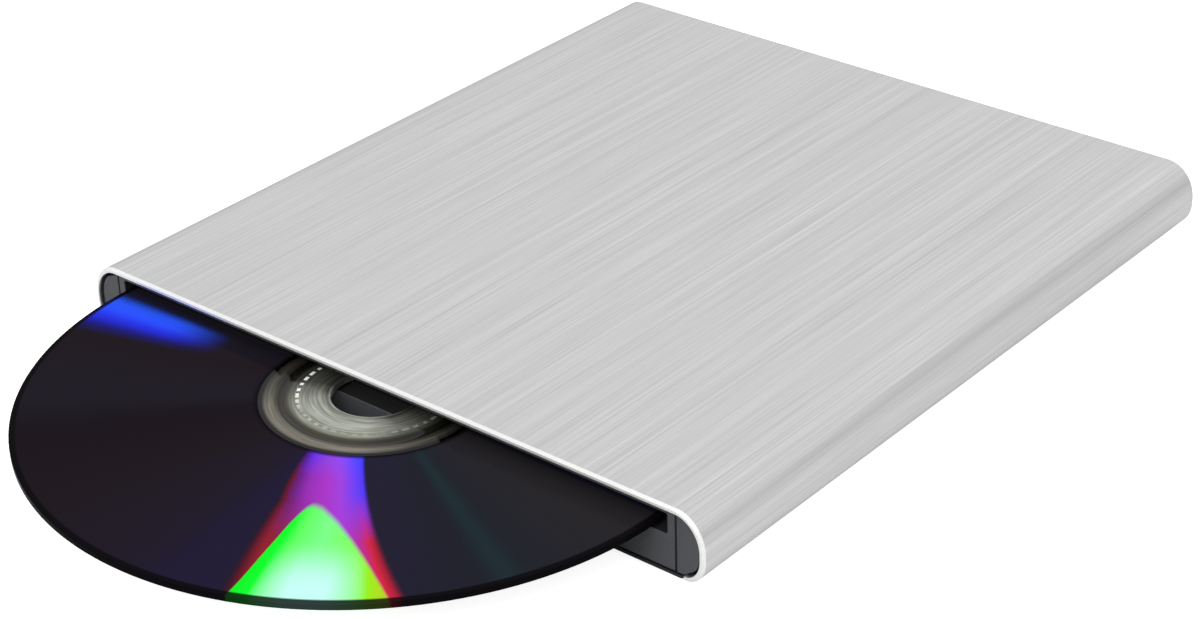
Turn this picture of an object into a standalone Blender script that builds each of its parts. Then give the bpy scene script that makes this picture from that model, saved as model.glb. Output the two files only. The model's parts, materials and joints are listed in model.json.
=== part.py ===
"""External slot-loading optical drive, as separate named sub-parts.

Local frame of the drive: X across, Y from the front plane to the rear, Z up from the
sleeve's lowest face. Every piece hangs from one empty that holds this frame. The row's
origin is under the middle of the whole rest state, with the disc half out of the slot.
"""

import math

import bmesh
import bpy
from mathutils import Vector

# ---- driving sizes, in metres -------------------------------------------------------

WIDTH = 0.138
DEPTH = 0.150
HEIGHT = 0.0126
WALL = 0.0010
TOP_CORNER = (0.0058, 0.0065)
LOW_CORNER = (0.0040, 0.0048)
RIM_CHAMFER = 0.00035
FOOT_HEIGHT = 0.0008
FOOT_RADIUS = 0.0045
FOOT_INSET = (0.014, 0.011)

DISC_RADIUS = 0.060
DISC_THICK = 0.0012
DISC_HOLE = 0.0075
DISC_BOTTOM = 0.0077
DISC_OUT_Y = 0.0017
MECH_X = -0.001
SPINDLE_Y = 0.070

BEZEL_RECESS = 0.0006
BEZEL_THICK = 0.0030
BEZEL_SEAM = 0.063
SEAM_GAP = 0.0002
FIT_GAP = 0.0003
SEAT_GAP = 0.00002
RUNNING_GAP = 0.00008
SLOT_HALF = 0.0614
SLOT_BELOW_DISC = 0.0007
SLOT_ABOVE_DISC = 0.0021
FELT_THICK = 0.0008
FELT_BELOW_DISC = 0.0002
FELT_ABOVE_DISC = 0.00025

COVER_THICK = 0.0005
COVER_BOTTOM = 0.00005
CHASSIS_SHEET = 0.0004
CHASSIS_FLOOR = 0.0014
CHASSIS_HALF = 0.0640
CHASSIS_FRONT = 0.0048
CHASSIS_BACK = 0.1350
TOP_SHEET_GAP = 0.0002
SCREW_RADIUS = 0.0008
SCREW_HEAD = (0.0018, 0.0004)
SCREW_INSET = (0.0065, 0.026)

LIFT = 0.0015
HINGE_Y = 0.009
HINGE_Z = 0.0044
FRAME_SHEET = 0.0008
FRAME_HALF = 0.021
FRAME_FRONT = 0.0052
FRAME_BACK = 0.0920
RAIL_HALF = 0.0045
WINDOW_FRONT = 0.0082
WINDOW_BACK = 0.0552
ROD_RADIUS = 0.00075
ROD_OFFSET = 0.013
ROD_Z = 0.0058
TRUNNION_RADIUS = 0.0008
TRUNNION_LENGTH = 0.0030

ROTOR_RADIUS = 0.0125
ROTOR_Z = (0.0061, 0.0074)
BOSS_GAP = 0.0002
BOSS_TOP = 0.0087
PAD_THICK = 0.0001
MOTOR_BASE_RADIUS = 0.0130

PICKUP_HALF = (0.0150, 0.0090)
PICKUP_REST = 0.024
PICKUP_Z = (0.00495, 0.00705)

CAM_TRAVEL = 0.014
CAM_BAR_Y = 0.0932
CAM_BAR_THICK = 0.0014
CAM_BAR_LEFT = -0.032
PIN_RADIUS = 0.0006
PIN_RISE = 0.0007
PIN_SPREAD = 0.012
PIN_SLOT_GAP = 0.0002

MODULE_RACK = 0.0008
MODULE_TRAIN = 0.0006
TEETH_CAM = 10
TEETH_LARGE = 24
TEETH_MOTOR = 10
CAM_GEAR_X = 0.028
TRAIN_ANGLE = math.radians(55.0)
MESH_GAP = 0.0001

ARM_PIVOT = (0.0568, 0.0763)
ARM_LENGTH = 0.0508
ARM_REST = math.radians(-14.82)
ARM_SHEET = (0.0094, 0.0102)
ROLLER_RADIUS = 0.0016

SOCKET_X = 0.030
SOCKET_SIZE = (0.0089, 0.0032)
SOCKET_Z = 0.0055
ROUND_STEPS = 48

# ---- derived places -----------------------------------------------------------------

HALF = WIDTH / 2.0
REACH_OUT = DISC_RADIUS - DISC_OUT_Y
FRONT_Y = -(DEPTH + REACH_OUT) / 2.0 + REACH_OUT
DISC_TOP = DISC_BOTTOM + DISC_THICK
INNER_TOP = HEIGHT - WALL
COVER_TOP = COVER_BOTTOM + COVER_THICK
BEZEL_FRONT = BEZEL_RECESS
BEZEL_BACK = BEZEL_RECESS + BEZEL_THICK
BEZEL_TOP = INNER_TOP - FIT_GAP
BEZEL_LOW = COVER_TOP + SEAM_GAP
SLOT_LOW = DISC_BOTTOM - SLOT_BELOW_DISC
SLOT_HIGH = DISC_TOP + SLOT_ABOVE_DISC
PANEL_BACK = DEPTH - BEZEL_RECESS
PANEL_FRONT = PANEL_BACK - BEZEL_THICK
TOP_SHEET_Z = INNER_TOP - FIT_GAP - CHASSIS_SHEET
FLOOR_TOP = CHASSIS_FLOOR + CHASSIS_SHEET
TILT = math.asin(LIFT / (SPINDLE_Y - HINGE_Y))
FRAME_LOW = HINGE_Z - FRAME_SHEET / 2.0
FRAME_TOP = HINGE_Z + FRAME_SHEET / 2.0
BOSS_RADIUS = DISC_HOLE - BOSS_GAP
PIN_DROP = (CAM_BAR_Y - HINGE_Y) * math.sin(TILT)
PIN_Z = HINGE_Z + PIN_RISE
CAM_BAR_Z = (FLOOR_TOP + 0.0001, PIN_Z + PIN_RADIUS + 0.0006)
RACK_PITCH_Y = CAM_BAR_Y + CAM_BAR_THICK + 1.25 * MODULE_RACK + 0.0004
CAM_GEAR_Y = RACK_PITCH_Y + TEETH_CAM * MODULE_RACK / 2.0 + MESH_GAP
TRAIN_DISTANCE = (TEETH_LARGE + TEETH_MOTOR) * MODULE_TRAIN / 2.0 + MESH_GAP
MOTOR_X = CAM_GEAR_X - TRAIN_DISTANCE * math.sin(TRAIN_ANGLE)
MOTOR_Y = CAM_GEAR_Y + TRAIN_DISTANCE * math.cos(TRAIN_ANGLE)

PARTS = None
CUTTERS = None


# ---- scene and materials ------------------------------------------------------------

def clear_scene():
    for item in list(bpy.data.objects):
        bpy.data.objects.remove(item, do_unlink=True)


def make_collection(name):
    group = bpy.data.collections.new(name)
    bpy.context.scene.collection.children.link(group)
    return group


def finish(name, color, roughness, metallic=0.0):
    """A Principled material with one colour, roughness and metallic value."""
    material = bpy.data.materials.new(name)
    material.use_nodes = True
    shader = material.node_tree.nodes["Principled BSDF"]
    shader.inputs["Base Color"].default_value = (*color, 1.0)
    shader.inputs["Roughness"].default_value = roughness
    shader.inputs["Metallic"].default_value = metallic
    material.diffuse_color = (*color, 1.0)
    return material


def pivot(name, parent, location, rotation=(0.0, 0.0, 0.0)):
    """An empty that holds a local frame or a joint's axis."""
    empty = bpy.data.objects.new(name, None)
    PARTS.objects.link(empty)
    empty.parent = parent
    empty.location = location
    empty.rotation_euler = rotation
    return empty


# ---- shapes -------------------------------------------------------------------------

def place(mesh, name, material, parent, location, rotation):
    piece = bpy.data.objects.new(name, mesh)
    group = PARTS if material else CUTTERS
    group.objects.link(piece)
    piece.parent = parent
    piece.location = location
    piece.rotation_euler = rotation
    if material:
        mesh.materials.clear()
        mesh.materials.append(material)
    else:
        piece.hide_render = True
        piece.display_type = "WIRE"
    return piece


def block(name, material, parent, low, high, rotation=(0.0, 0.0, 0.0)):
    """A box between two corners, with its origin at its centre."""
    low, high = Vector(low), Vector(high)
    shape = bmesh.new()
    bmesh.ops.create_cube(shape, size=1.0)
    bmesh.ops.scale(shape, vec=high - low, verts=shape.verts)
    mesh = bpy.data.meshes.new(name)
    shape.to_mesh(mesh)
    shape.free()
    return place(mesh, name, material, parent, (low + high) / 2.0, rotation)


def drum(name, material, parent, centre, radius, length, rotation=(0.0, 0.0, 0.0), steps=ROUND_STEPS):
    """A cylinder about its own Z, with its origin at its centre."""
    shape = bmesh.new()
    bmesh.ops.create_cone(
        shape, cap_ends=True, segments=steps, radius1=radius, radius2=radius, depth=length)
    mesh = bpy.data.meshes.new(name)
    shape.to_mesh(mesh)
    shape.free()
    return place(mesh, name, material, parent, centre, rotation)


def plate(name, material, parent, outlines, low, high, location=(0, 0, 0), rotation=(0, 0, 0)):
    """A flat outline with any holes, extruded from low to high along its own Z."""
    curve = bpy.data.curves.new(name, "CURVE")
    curve.dimensions = "2D"
    curve.fill_mode = "BOTH"
    curve.extrude = (high - low) / 2.0
    for outline in outlines:
        spline = curve.splines.new("POLY")
        spline.points.add(len(outline) - 1)
        for point, (x, y) in zip(spline.points, outline):
            point.co = (x, y, 0.0, 1.0)
        spline.use_cyclic_u = True
    drawn = bpy.data.objects.new(name + "_outline", curve)
    PARTS.objects.link(drawn)
    graph = bpy.context.evaluated_depsgraph_get()
    mesh = bpy.data.meshes.new_from_object(drawn.evaluated_get(graph))
    bpy.data.objects.remove(drawn, do_unlink=True)
    shape = bmesh.new()
    shape.from_mesh(mesh)
    bmesh.ops.remove_doubles(shape, verts=shape.verts, dist=0.000001)
    bmesh.ops.translate(shape, vec=(0, 0, (low + high) / 2.0), verts=shape.verts)
    bmesh.ops.recalc_face_normals(shape, faces=shape.faces)
    shape.to_mesh(mesh)
    shape.free()
    mesh.name = name
    return place(mesh, name, material, parent, location, rotation)


def turned(name, material, parent, profile, location, rotation=(0.0, 0.0, 0.0), steps=ROUND_STEPS):
    """A lathe shape: (radius, height) points from the top down the outside."""
    shape = bmesh.new()
    verts = [shape.verts.new((radius, 0.0, height)) for radius, height in profile]
    for first, second in zip(verts, verts[1:]):
        shape.edges.new((first, second))
    if profile[0][0] > 0.0:
        shape.edges.new((verts[-1], verts[0]))
    mesh = bpy.data.meshes.new(name)
    shape.to_mesh(mesh)
    shape.free()
    piece = place(mesh, name, material, parent, location, rotation)
    screw = piece.modifiers.new("Turn", "SCREW")
    screw.axis = "Z"
    screw.steps = steps
    screw.render_steps = steps
    screw.use_merge_vertices = True
    screw.merge_threshold = 0.000001
    return piece


def combine(target, tool, operation="DIFFERENCE"):
    """Cut, or join, one mesh with another through an exact Boolean."""
    step = target.modifiers.new(tool.name, "BOOLEAN")
    step.operation = operation
    step.solver = "EXACT"
    step.object = tool
    return target


def soften(piece, width, segments=1, angle=50.0):
    edge = piece.modifiers.new("Edges", "BEVEL")
    edge.width = width
    edge.segments = segments
    edge.limit_method = "ANGLE"
    edge.angle_limit = math.radians(angle)
    return piece


def circle(centre, radius, steps=ROUND_STEPS):
    return [(centre[0] + radius * math.cos(2 * math.pi * i / steps),
             centre[1] + radius * math.sin(2 * math.pi * i / steps)) for i in range(steps)]


def rectangle(low, high):
    return [(low[0], low[1]), (high[0], low[1]), (high[0], high[1]), (low[0], high[1])]


def rounded(low, high, radius, steps=6):
    """A rectangle with round corners, counter-clockwise."""
    points = []
    corners = ((high[0], high[1], 0), (low[0], high[1], 1), (low[0], low[1], 2), (high[0], low[1], 3))
    for x, y, quarter in corners:
        centre = (x - radius * (1 if quarter in (0, 3) else -1),
                  y - radius * (1 if quarter in (0, 1) else -1))
        for i in range(steps + 1):
            angle = math.pi / 2.0 * (quarter + i / steps)
            points.append((centre[0] + radius * math.cos(angle), centre[1] + radius * math.sin(angle)))
    return points


def gear(teeth, module, phase=0.0, thin=0.82):
    """A spur gear's outline with one tooth centred on the angle phase."""
    pitch = teeth * module / 2.0
    tip, root = pitch + 0.85 * module, pitch - 1.1 * module
    quarter = math.pi / teeth / 2.0
    points = []
    for i in range(teeth):
        middle = phase + 2.0 * math.pi * i / teeth
        for radius, spread in ((root, -1.35), (tip, -0.55), (tip, 0.55), (root, 1.35)):
            angle = middle + spread * quarter * thin
            points.append((radius * math.cos(angle), radius * math.sin(angle)))
    return points


def quarter_arc(centre, radii, start, steps=8):
    return [(centre[0] + radii[0] * math.cos(start + math.pi / 2.0 * i / steps),
             centre[1] + radii[1] * math.sin(start + math.pi / 2.0 * i / steps))
            for i in range(steps + 1)]


def right_section(inset):
    """The sleeve's right-hand section from its low corner to its top corner."""
    low_centre = (HALF - LOW_CORNER[0], LOW_CORNER[1])
    top_centre = (HALF - TOP_CORNER[0], HEIGHT - TOP_CORNER[1])
    low = quarter_arc(low_centre, (LOW_CORNER[0] - inset, LOW_CORNER[1] - inset), -math.pi / 2.0)
    top = quarter_arc(top_centre, (TOP_CORNER[0] - inset, TOP_CORNER[1] - inset), 0.0)
    return low + top


def mirrored(points):
    return [(-x, z) for x, z in reversed(points)]


# ---- enclosure ----------------------------------------------------------------------

def build_shell(root, material):
    """The extruded sleeve: an open section, drawn along Y and given its wall."""
    section = right_section(0.0) + mirrored(right_section(0.0))
    shape = bmesh.new()
    verts = [shape.verts.new((x, 0.0, z)) for x, z in section]
    edges = [shape.edges.new(pair) for pair in zip(verts, verts[1:])]
    drawn = bmesh.ops.extrude_edge_only(shape, edges=edges)["geom"]
    moved = [item for item in drawn if isinstance(item, bmesh.types.BMVert)]
    bmesh.ops.translate(shape, vec=(0.0, DEPTH, 0.0), verts=moved)
    bmesh.ops.recalc_face_normals(shape, faces=shape.faces)
    mesh = bpy.data.meshes.new("outer_shell")
    shape.to_mesh(mesh)
    shape.free()
    shell = place(mesh, "outer_shell", material, root, (0, 0, 0), (0, 0, 0))
    skin = shell.modifiers.new("Wall", "SOLIDIFY")
    skin.thickness = WALL
    top_face = max(mesh.polygons, key=lambda face: face.center.z)
    skin.offset = -1.0 if top_face.normal.z > 0.0 else 1.0
    soften(shell, RIM_CHAMFER, 1, 60.0)


def screw_places():
    return [(side * (CHASSIS_HALF - SCREW_INSET[0]), y)
            for side in (-1, 1) for y in (SCREW_INSET[1], CHASSIS_BACK - 0.010)]


def build_underside(root, cover_finish, foot_finish, screw_finish):
    """The bottom cover between the sleeve's lips, its screws and the rubber feet."""
    half = HALF - LOW_CORNER[0] - FIT_GAP
    outlines = [rounded((-half, 0.0004), (half, DEPTH - 0.0004), 0.0008)]
    outlines += [circle(place_xy, SCREW_RADIUS + 0.0002, 24) for place_xy in screw_places()]
    plate("bottom_cover", cover_finish, root, outlines, COVER_BOTTOM, COVER_TOP)
    for index, (x, y) in enumerate(screw_places()):
        head_radius, head_height = SCREW_HEAD
        top = FLOOR_TOP + 0.0006
        under = COVER_BOTTOM - SEAT_GAP
        profile = [(0.0, top), (SCREW_RADIUS, top), (SCREW_RADIUS, under), (head_radius, under),
                   (head_radius - 0.0002, under - head_height), (0.0, under - head_height)]
        turned(f"cover_screw_{index + 1}", screw_finish, root, profile, (x, y, 0.0), steps=24)
    for index, (sx, sy) in enumerate(((-1, 0), (1, 0), (-1, 1), (1, 1))):
        x = sx * (HALF - FOOT_INSET[0])
        y = FOOT_INSET[1] if sy == 0 else DEPTH - FOOT_INSET[1]
        top = COVER_BOTTOM - SEAT_GAP
        profile = [(0.0, top), (FOOT_RADIUS, top), (FOOT_RADIUS, -FOOT_HEIGHT + 0.0002),
                   (FOOT_RADIUS - 0.0002, -FOOT_HEIGHT), (0.0, -FOOT_HEIGHT)]
        turned(f"foot_{index + 1}", foot_finish, root, profile, (x, y, 0.0), steps=32)


def end_outline():
    """The bezel's rounded right end, inside the sleeve and outside the seam."""
    seam = BEZEL_SEAM + SEAM_GAP / 2.0
    inner = right_section(WALL + FIT_GAP)
    points = [(x, z) for x, z in inner if x > seam + 0.0002 and z > BEZEL_LOW + 0.0001]
    top_z = top_height(seam)
    return [(seam, BEZEL_LOW), (points[0][0] - 0.0004, BEZEL_LOW)] + points + [(seam, top_z)]


def top_height(x):
    """Height of the inset top corner above one place across the width."""
    reach = (x - (HALF - TOP_CORNER[0])) / (TOP_CORNER[0] - WALL - FIT_GAP)
    rise = TOP_CORNER[1] - WALL - FIT_GAP
    return HEIGHT - TOP_CORNER[1] + rise * math.sqrt(max(0.0, 1.0 - max(0.0, reach) ** 2))


def build_front(root, plastic, felt):
    """The bezel in three pieces, and the two felt lips behind its slot."""
    upright = (math.pi / 2.0, 0.0, 0.0)
    half = BEZEL_SEAM - SEAM_GAP / 2.0
    outlines = [rectangle((-half, BEZEL_LOW), (half, BEZEL_TOP)),
                rounded((-SLOT_HALF, SLOT_LOW), (SLOT_HALF, SLOT_HIGH), 0.0004, 3)]
    plate("bezel", plastic, root, outlines, -BEZEL_BACK, -BEZEL_FRONT, rotation=upright)
    right = end_outline()
    for name, outline in (("bezel_end_right", right), ("bezel_end_left", mirrored(right))):
        end = plate(name, plastic, root, [outline], -BEZEL_BACK, -BEZEL_FRONT, rotation=upright)
        soften(end, 0.0002, 1, 60.0)
    front = BEZEL_BACK + SEAT_GAP
    reach = SLOT_HALF + 0.0002
    block("slot_felt_upper", felt, root,
          (-reach, front, DISC_TOP + FELT_ABOVE_DISC), (reach, front + FELT_THICK, SLOT_HIGH + 0.0004))
    block("slot_felt_lower", felt, root,
          (-reach, front, SLOT_LOW - 0.0014), (reach, front + FELT_THICK, DISC_BOTTOM - FELT_BELOW_DISC))


def build_rear(root, plastic, metal, board_finish, chip_finish):
    """The rear panel, the data socket, and the small board that carries it."""
    upright = (math.pi / 2.0, 0.0, 0.0)
    side = [(x, z) for x, z in right_section(WALL + FIT_GAP) if z > BEZEL_LOW + 0.0001]
    outline = [(side[0][0] - 0.0004, BEZEL_LOW)] + side
    outline = outline + mirrored(outline)
    half_w, half_h = SOCKET_SIZE[0] / 2.0, SOCKET_SIZE[1] / 2.0
    window = rounded((SOCKET_X - half_w - FIT_GAP, SOCKET_Z - half_h - FIT_GAP),
                     (SOCKET_X + half_w + FIT_GAP, SOCKET_Z + half_h + FIT_GAP), half_h)
    panel = plate("rear_panel", plastic, root, [outline, window], -PANEL_BACK, -PANEL_FRONT, rotation=upright)
    soften(panel, 0.0002, 1, 60.0)
    outer = rounded((SOCKET_X - half_w, SOCKET_Z - half_h), (SOCKET_X + half_w, SOCKET_Z + half_h), half_h - 0.00001)
    socket = plate("usb_socket", metal, root, [outer], -PANEL_BACK, -PANEL_BACK + 0.0080, rotation=upright)
    inner = rounded((SOCKET_X - half_w + 0.0003, SOCKET_Z - half_h + 0.0003),
                    (SOCKET_X + half_w - 0.0003, SOCKET_Z + half_h - 0.0003), half_h - 0.00031)
    mouth = plate("socket_mouth", None, root, [inner], -PANEL_BACK - 0.001, -PANEL_BACK + 0.0060, rotation=upright)
    combine(socket, mouth)
    tongue_back = PANEL_BACK - 0.0055
    block("usb_tongue", chip_finish, root, (SOCKET_X - 0.0033, tongue_back, SOCKET_Z - 0.00035),
          (SOCKET_X + 0.0033, PANEL_BACK - 0.0012, SOCKET_Z + 0.00035))
    board_top = SOCKET_Z - half_h - SEAT_GAP
    block("bridge_board", board_finish, root, (-0.022, CHASSIS_BACK + 0.0020, board_top - 0.0008),
          (0.050, PANEL_FRONT - FIT_GAP, board_top))
    block("bridge_chip", chip_finish, root, (0.002, CHASSIS_BACK + 0.0035, board_top + SEAT_GAP),
          (0.009, PANEL_FRONT - 0.0015, board_top + 0.0010))
    block("drive_connector", chip_finish, root, (-0.020, CHASSIS_BACK - 0.0035, board_top + SEAT_GAP),
          (-0.004, CHASSIS_BACK + 0.0065, board_top + 0.0024))


# ---- drive chassis ------------------------------------------------------------------

def build_chassis(root, sheet, board_finish, chip_finish, stud_finish):
    """The sheet-metal tray and lid, the main board, and the arms' studs."""
    tray = block("drive_chassis", sheet, root, (-CHASSIS_HALF, CHASSIS_FRONT, CHASSIS_FLOOR),
                 (CHASSIS_HALF, CHASSIS_BACK, TOP_SHEET_Z - TOP_SHEET_GAP))
    shape = bmesh.new()
    shape.from_mesh(tray.data)
    shape.faces.ensure_lookup_table()
    open_faces = [face for face in shape.faces if face.normal.z > 0.9 or face.normal.y < -0.9]
    bmesh.ops.delete(shape, geom=open_faces, context="FACES")
    shape.to_mesh(tray.data)
    shape.free()
    skin = tray.modifiers.new("Sheet", "SOLIDIFY")
    skin.thickness = CHASSIS_SHEET
    skin.offset = -1.0
    for index, (x, y) in enumerate(screw_places()):
        hole = drum(f"chassis_hole_{index}", None, root, (x, y, CHASSIS_FLOOR),
                    SCREW_RADIUS + RUNNING_GAP, 0.004, steps=24)
        combine(tray, hole)
    board_top = SOCKET_Z - SOCKET_SIZE[1] / 2.0 - SEAT_GAP
    combine(tray, block("connector_notch", None, root, (-0.0205, CHASSIS_BACK - 0.002, board_top - FIT_GAP),
                        (-0.0035, CHASSIS_BACK + 0.002, TOP_SHEET_Z + 0.001)))
    studs = [(side * ARM_PIVOT[0] + MECH_X, ARM_PIVOT[1]) for side in (-1, 1)]
    half = CHASSIS_HALF
    outlines = [rounded((-half, CHASSIS_FRONT), (half, CHASSIS_BACK), 0.001)]
    outlines += [circle(place_xy, 0.0011, 24) for place_xy in studs]
    plate("drive_lid", sheet, root, outlines, TOP_SHEET_Z, TOP_SHEET_Z + CHASSIS_SHEET)
    for name, (x, y) in zip(("arm_stud_left", "arm_stud_right"), studs):
        low, high = ARM_SHEET
        profile = [(0.0, TOP_SHEET_Z + CHASSIS_SHEET), (0.0010, TOP_SHEET_Z + CHASSIS_SHEET),
                   (0.0010, TOP_SHEET_Z - SEAT_GAP), (0.0028, TOP_SHEET_Z - SEAT_GAP),
                   (0.0028, high + 0.0001), (0.0010, high + 0.0001), (0.0010, low - 0.0001),
                   (0.0022, low - 0.0001), (0.0022, low - 0.0003), (0.0, low - 0.0003)]
        turned(name, stud_finish, root, profile, (x, y, 0.0), steps=32)
    board_low = FLOOR_TOP + SEAT_GAP
    block("main_board", board_finish, root, (-0.054, 0.098, board_low), (-0.008, 0.1315, board_low + 0.0008))
    chips = (("servo_chip", (-0.048, 0.106), 0.0070), ("memory_chip", (-0.030, 0.108), 0.0045),
             ("driver_chip", (-0.016, 0.104), 0.0055))
    for name, (x, y), size in chips:
        low = board_low + 0.0008 + SEAT_GAP
        block(name, chip_finish, root, (x - size / 2, y - size / 2, low), (x + size / 2, y + size / 2, low + 0.0012))


# ---- disc and turntable ---------------------------------------------------------------

def build_disc(root, material):
    """The disc, half out of the slot, with its origin at its own centre."""
    half, edge = DISC_THICK / 2.0, 0.00015
    profile = [(DISC_HOLE, half), (DISC_RADIUS - edge, half), (DISC_RADIUS, half - edge),
               (DISC_RADIUS, -half + edge), (DISC_RADIUS - edge, -half), (DISC_HOLE, -half)]
    turned("disc", material, root, profile, (MECH_X, DISC_OUT_Y, DISC_BOTTOM + half), steps=120)


def traverse_xyz(x, y, z):
    """A place in the raised mechanism, as seen from the tilted hinge empty."""
    return (x, y - HINGE_Y, z - HINGE_Z)


def build_spindle(tilt, steel, plastic, rubber, copper):
    """The flat spindle motor: base, windings, rotor with its boss, and the pad."""
    centre = traverse_xyz(0.0, SPINDLE_Y, 0.0)
    low = FRAME_TOP + SEAT_GAP
    base = [(MOTOR_BASE_RADIUS, low + 0.0004), (MOTOR_BASE_RADIUS, low), (0.0012, low),
            (0.0012, low + 0.0010), (0.0022, low + 0.0010), (0.0022, low + 0.0004)]
    turned("spindle_motor_base", steel, tilt, base, centre)
    winding = [(0.0105, low + 0.0008), (0.0105, low + 0.0004 + SEAT_GAP),
               (0.0030, low + 0.0004 + SEAT_GAP), (0.0030, low + 0.0008)]
    turned("stator_winding", copper, tilt, winding, centre)
    bottom, top = ROTOR_Z
    rotor = [(0.0, BOSS_TOP), (BOSS_RADIUS - 0.0006, BOSS_TOP), (BOSS_RADIUS, BOSS_TOP - 0.0006),
             (BOSS_RADIUS, top), (ROTOR_RADIUS, top), (ROTOR_RADIUS, bottom),
             (0.0011, bottom), (0.0011, low + 0.0002), (0.0, low + 0.0002)]
    turned("turntable", plastic, tilt, rotor, centre)
    pad = [(ROTOR_RADIUS - 0.0003, top + SEAT_GAP + PAD_THICK), (ROTOR_RADIUS - 0.0003, top + SEAT_GAP),
           (0.0095, top + SEAT_GAP), (0.0095, top + SEAT_GAP + PAD_THICK)]
    turned("turntable_pad", rubber, tilt, pad, centre)


# ---- traverse and pickup --------------------------------------------------------------

def build_traverse(tilt, sheet, steel, plastic):
    """The swinging frame that lifts the spindle, with its rods and its sled motor."""
    outer = [(-FRAME_HALF, FRAME_FRONT), (FRAME_HALF, FRAME_FRONT), (FRAME_HALF, 0.0700),
             (FRAME_HALF - 0.004, FRAME_BACK), (-FRAME_HALF + 0.004, FRAME_BACK), (-FRAME_HALF, 0.0700)]
    window = rectangle((-FRAME_HALF + RAIL_HALF, WINDOW_FRONT), (FRAME_HALF - RAIL_HALF, WINDOW_BACK))
    motor_bay = rectangle((FRAME_HALF - RAIL_HALF - 0.0010, 0.0570), (FRAME_HALF + 0.001, 0.0705))
    shift = [[(x, y - HINGE_Y) for x, y in line] for line in (outer, window)]
    frame = plate("traverse_frame", sheet, tilt, shift, -FRAME_SHEET / 2.0, FRAME_SHEET / 2.0)
    bay = plate("sled_motor_bay", None, tilt, [[(x, y - HINGE_Y) for x, y in motor_bay]], -0.002, 0.002)
    combine(frame, bay)
    sideways = (0.0, math.pi / 2.0, 0.0)
    lengthways = (math.pi / 2.0, 0.0, 0.0)
    for side in (-1, 1):
        trunnion = drum(f"trunnion_{side}", None, tilt,
                        (side * (FRAME_HALF + TRUNNION_LENGTH / 2.0 - 0.0005), 0.0, 0.0),
                        TRUNNION_RADIUS, TRUNNION_LENGTH + 0.001, sideways, 24)
        combine(frame, trunnion, "UNION")
        pin = drum(f"lift_pin_{side}", None, tilt,
                   traverse_xyz(side * PIN_SPREAD, FRAME_BACK + 0.0011, PIN_Z), PIN_RADIUS, 0.0042,
                   lengthways, 24)
        combine(frame, pin, "UNION")
        for y_low, y_high in ((FRAME_FRONT + 0.0001, WINDOW_FRONT - 0.0002), (WINDOW_BACK + 0.0002, 0.0575)):
            x = side * ROD_OFFSET
            holder = block(f"rod_holder_{side}_{y_low:.4f}", None, tilt,
                           traverse_xyz(x - 0.0016, y_low, HINGE_Z),
                           traverse_xyz(x + 0.0016, y_high, ROD_Z + 0.0012))
            combine(frame, holder, "UNION")
    holder = block("screw_holder", None, tilt, traverse_xyz(0.0172, FRAME_FRONT + 0.0001, HINGE_Z),
                   traverse_xyz(0.0204, WINDOW_FRONT - 0.0002, ROD_Z + 0.0012))
    combine(frame, holder, "UNION")
    rod_front, rod_back = FRAME_FRONT + 0.0008, 0.0570
    for side, name in ((-1, "guide_rod_left"), (1, "guide_rod_right")):
        middle = traverse_xyz(side * ROD_OFFSET, (rod_front + rod_back) / 2.0, ROD_Z)
        drum(name, steel, tilt, middle, ROD_RADIUS, rod_back - rod_front, lengthways, 24)
        bore = drum(name + "_bore", None, tilt, middle, ROD_RADIUS + SEAT_GAP,
                    rod_back - rod_front + 0.0002, lengthways, 24)
        combine(frame, bore)
    screw_x, screw_back = 0.0188, 0.0570
    middle = traverse_xyz(screw_x, (rod_front + screw_back) / 2.0, ROD_Z)
    bore = drum("lead_screw_bore", None, tilt, middle, 0.0007 + RUNNING_GAP,
                screw_back - rod_front + 0.0002, lengthways, 24)
    combine(frame, bore)
    front, back = rod_front - HINGE_Y, screw_back - HINGE_Y
    profile = [(0.0, -front), (0.0007, -front), (0.0007, -(WINDOW_FRONT - HINGE_Y)),
               (0.00092, -(WINDOW_FRONT - HINGE_Y)), (0.00092, -back), (0.0, -back)]
    turned("lead_screw", steel, tilt, profile, (screw_x, 0.0, ROD_Z - HINGE_Z), lengthways, 24)
    motor = block("sled_motor", plastic, tilt, traverse_xyz(0.0158, screw_back + 0.0003, ROD_Z - 0.0015),
                  traverse_xyz(0.0210, 0.0702, ROD_Z + 0.0015))
    soften(motor, 0.0006, 2, 50.0)


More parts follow.
